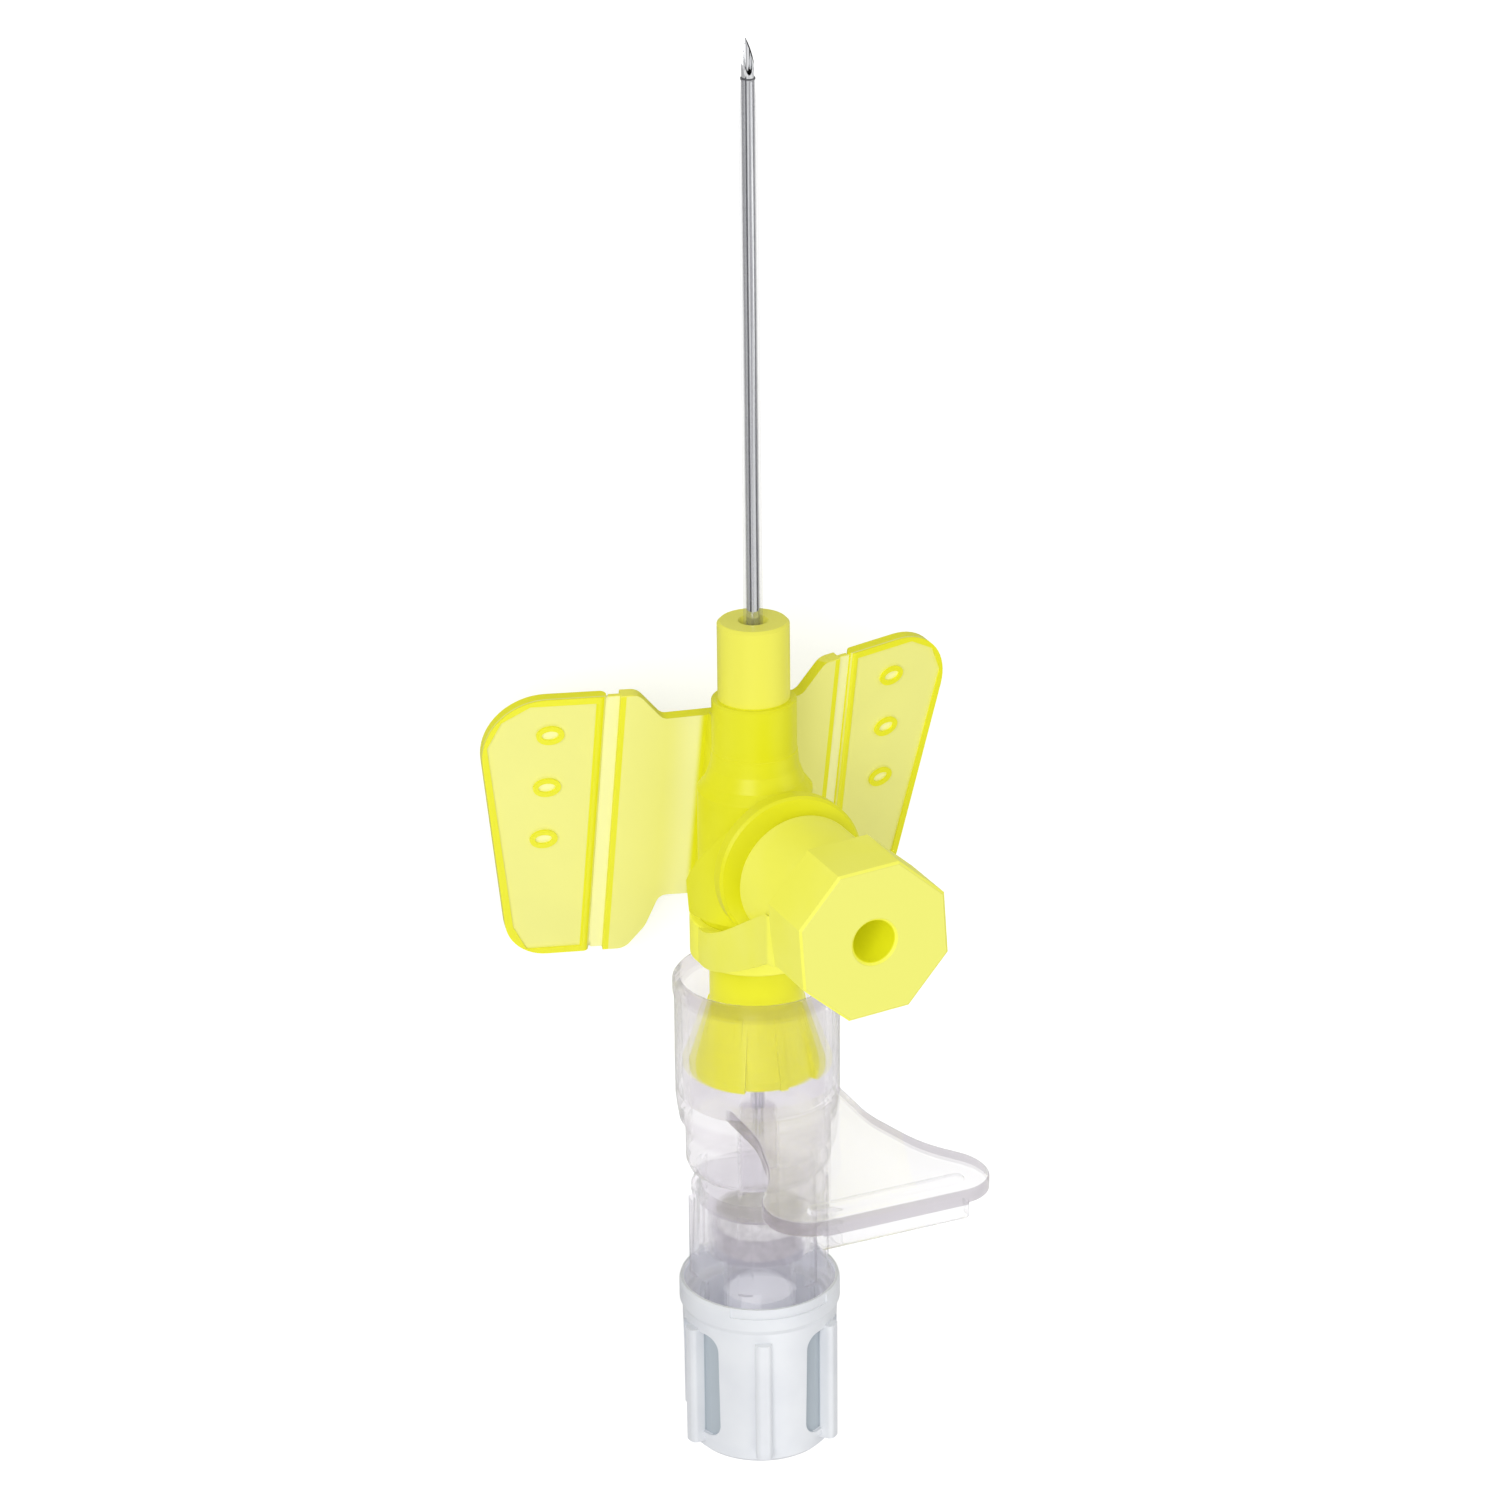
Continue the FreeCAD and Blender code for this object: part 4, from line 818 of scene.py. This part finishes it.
class CANNULA_OT_add_hinge_films(bpy.types.Operator):
    """Bridge each wing's hinge gap with a thin film"""
    bl_idname = "cannula.add_hinge_films"
    bl_label = "Hinge films"

    def execute(self, context):
        sizes = context.scene.cannula_film
        look = context.scene.cannula_yellow
        film = moulded_finish("Hinge film", darker(look.film_tint, 0.97), look.film_tint,
                              look.roughness, look.wing_clearness, look.index, flow=3,
                              glow=look.glow)
        for wing, side in WINGS.items():
            mesh = bmesh.new()
            bmesh.ops.create_grid(mesh, x_segments=6, y_segments=40, size=0.5)
            wide, tall = sizes.far - sizes.near, sizes.high - sizes.low
            middle = ((sizes.near + sizes.far) / 2, -sizes.thickness / 2,
                      (sizes.high + sizes.low) / 2)
            bmesh.ops.scale(mesh, vec=(wide, tall, 1), verts=mesh.verts)
            bmesh.ops.rotate(mesh, matrix=Matrix.Rotation(math.pi / 2, 3, "X"), verts=mesh.verts)
            bmesh.ops.translate(mesh, vec=middle, verts=mesh.verts)
            bmesh.ops.recalc_face_normals(mesh, faces=mesh.faces)
            bmesh.ops.solidify(mesh, geom=mesh.faces[:], thickness=sizes.thickness)
            bmesh.ops.transform(mesh, matrix=wing_matrix(sizes, side), verts=mesh.verts)
            piece = finish_piece(mesh, "hinge_film_" + wing, film)
            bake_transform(piece)
        return {"FINISHED"}


class CANNULA_OT_add_strap_end(bpy.types.Operator):
    """Carry the strap's tongue on to the flat side of the port cap"""
    bl_idname = "cannula.add_strap_end"
    bl_label = "Strap end"

    def execute(self, context):
        sizes = context.scene.cannula_strap
        mesh = bmesh.new()
        bmesh.ops.create_cube(mesh, size=1.0)
        bmesh.ops.subdivide_edges(mesh, edges=mesh.edges[:], cuts=6, use_grid_fill=True)
        box = (sizes.thickness, sizes.end - sizes.start, sizes.width)
        middle = (-sizes.side, -(sizes.start + sizes.end) / 2, sizes.height)
        bmesh.ops.scale(mesh, vec=box, verts=mesh.verts)
        bmesh.ops.translate(mesh, vec=middle, verts=mesh.verts)
        corners = [edge for edge in mesh.edges if edge.calc_face_angle(0) > 1]
        bmesh.ops.bevel(mesh, geom=corners, offset=sizes.corner, segments=2, affect="EDGES",
                        profile=0.5, material=-1)
        for vertex in mesh.verts:
            past = max(0, -vertex.co.y - sizes.crease) / (sizes.end - sizes.crease)
            vertex.co.x += past * sizes.sink
        bmesh.ops.transform(mesh, matrix=LAY, verts=mesh.verts)
        piece = finish_piece(mesh, "strap_end", bpy.data.materials["Cap yellow"])
        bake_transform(piece)
        return {"FINISHED"}


class CANNULA_OT_set_stage(bpy.types.Operator):
    """Set the camera, lamps, pale floor and white surround"""
    bl_idname = "cannula.set_stage"
    bl_label = "Stage"

    def execute(self, context):
        stage = context.scene.cannula_stage
        self.add_camera(context, stage)
        self.add_floor(stage)
        self.set_world(context, stage)
        for name, place, size, power in LAMPS:
            self.add_lamp(name, place, size, getattr(stage, power))
        context.scene.view_settings.view_transform = "Standard"
        return {"FINISHED"}

    def add_camera(self, context, stage):
        turn = -stage.azimuth
        target = Vector((stage.target_side * math.cos(turn), -stage.target_side * math.sin(turn),
                         stage.target_height))
        back = Vector((-math.sin(turn) * math.cos(stage.elevation),
                       -math.cos(turn) * math.cos(stage.elevation), math.sin(stage.elevation)))
        data = bpy.data.cameras.new("Camera")
        data.lens = stage.lens
        data.sensor_width = 36
        data.clip_start, data.clip_end = 0.01, 10
        camera = bpy.data.objects.new("Camera", data)
        context.scene.collection.objects.link(camera)
        upright = back.to_track_quat("Z", "Y").to_matrix().to_4x4()
        place = Matrix.Translation(target + back * stage.distance)
        camera.matrix_world = LAY @ place @ upright @ Matrix.Rotation(stage.roll, 4, "Z")
        context.scene.camera = camera

    def add_floor(self, stage):
        mesh = bmesh.new()
        bmesh.ops.create_grid(mesh, x_segments=2, y_segments=2, size=2.0)
        bmesh.ops.translate(mesh, vec=(0, 0, -stage.floor_drop), verts=mesh.verts)
        data = bpy.data.meshes.new("floor")
        mesh.to_mesh(data)
        mesh.free()
        floor = bpy.data.objects.new("floor", data)
        bpy.context.scene.collection.objects.link(floor)
        material, tree, shader = new_finish("Floor", 0.9)
        shader.inputs["Base Color"].default_value = (*stage.floor_colour, 1)
        seen = self.seen_directly(tree)
        glow = math_node(tree, "MULTIPLY", seen, stage.floor_glow)
        shader.inputs["Emission Color"].default_value = (1, 1, 1, 1)
        tree.links.new(glow, shader.inputs["Emission Strength"])
        data.materials.append(material)

    def seen_directly(self, tree):
        """1 for rays from the camera and for what shows through clear plastic."""
        path = tree.nodes.new("ShaderNodeLightPath")
        return math_node(tree, "MAXIMUM", path.outputs["Is Camera Ray"],
                         path.outputs["Is Transmission Ray"])

    def set_world(self, context, stage):
        world = bpy.data.worlds.new("Surround")
        context.scene.world = world
        world.use_nodes = True
        tree = world.node_tree
        background = tree.nodes["Background"]
        background.inputs["Color"].default_value = (1, 1, 1, 1)
        glossy = tree.nodes.new("ShaderNodeLightPath").outputs["Is Glossy Ray"]
        direction = tree.nodes.new("ShaderNodeTexCoord").outputs["Generated"]
        height = separate(tree, direction)[2]
        sky = ramp(tree, height, stage.flag_height - stage.flag_soft,
                   stage.flag_height + stage.flag_soft)
        roof = ramp(tree, height, stage.roof_height - stage.roof_soft,
                    stage.roof_height + stage.roof_soft)
        shine = math_node(tree, "MULTIPLY_ADD", sky, 1 - stage.flag_light, stage.flag_light)
        shine = math_node(tree, "MULTIPLY_ADD", roof, stage.roof_light - 1, shine)
        extra = math_node(tree, "SUBTRACT", shine, stage.world_light)
        light = math_node(tree, "MULTIPLY_ADD", glossy, extra, stage.world_light)
        rest = math_node(tree, "SUBTRACT", 1.0, light)
        seen = self.seen_directly(tree)
        strength = math_node(tree, "MULTIPLY_ADD", seen, rest, light)
        tree.links.new(strength, background.inputs["Strength"])

    def add_lamp(self, name, place, size, power):
        data = bpy.data.lights.new(name, "AREA")
        data.shape = "SQUARE"
        data.size = size
        data.energy = power
        lamp = bpy.data.objects.new(name, data)
        bpy.context.scene.collection.objects.link(lamp)
        lamp.location = place
        lamp.rotation_euler = (LIT_PLACE - Vector(place)).to_track_quat("-Z", "Y").to_euler()


class CANNULA_PT_panel(bpy.types.Panel):
    """The steps that dress the cannula, in their order"""
    bl_label = "Venous cannula"
    bl_space_type = "VIEW_3D"
    bl_region_type = "UI"
    bl_category = "Cannula"

    def draw(self, context):
        column = self.layout.column(align=True)
        for step in STEPS:
            column.operator(step.bl_idname)
        for name, group in SETTINGS.items():
            box = self.layout.box()
            box.label(text=group.__doc__)
            values = getattr(context.scene, name)
            for value in group.__annotations__:
                box.prop(values, value)


SETTINGS = {
    "cannula_yellow": YellowPlastic,
    "cannula_clear": ClearPlastic,
    "cannula_white": WhitePlastic,
    "cannula_steel": Steel,
    "cannula_film": HingeFilm,
    "cannula_wing_face": WingFace,
    "cannula_cap_face": CapFace,
    "cannula_strap": StrapEnd,
    "cannula_stage": Stage,
}
STEPS = (
    CANNULA_OT_finish_catheter_hub,
    CANNULA_OT_finish_cap_and_strap,
    CANNULA_OT_finish_wings,
    CANNULA_OT_finish_clear_parts,
    CANNULA_OT_finish_white_parts,
    CANNULA_OT_finish_needle,
    CANNULA_OT_add_hinge_films,
    CANNULA_OT_add_strap_end,
    CANNULA_OT_set_stage,
)


def register():
    for group in (*SETTINGS.values(), *STEPS, CANNULA_PT_panel):
        bpy.utils.register_class(group)
    for name, group in SETTINGS.items():
        setattr(bpy.types.Scene, name, PointerProperty(type=group))


def unregister():
    for name in SETTINGS:
        delattr(bpy.types.Scene, name)
    for group in reversed((*SETTINGS.values(), *STEPS, CANNULA_PT_panel)):
        bpy.utils.unregister_class(group)


def main():
    register()
    for step in STEPS:
        area, name = step.bl_idname.split(".")
        getattr(getattr(bpy.ops, area), name)()


if __name__ == "__main__":
    main()
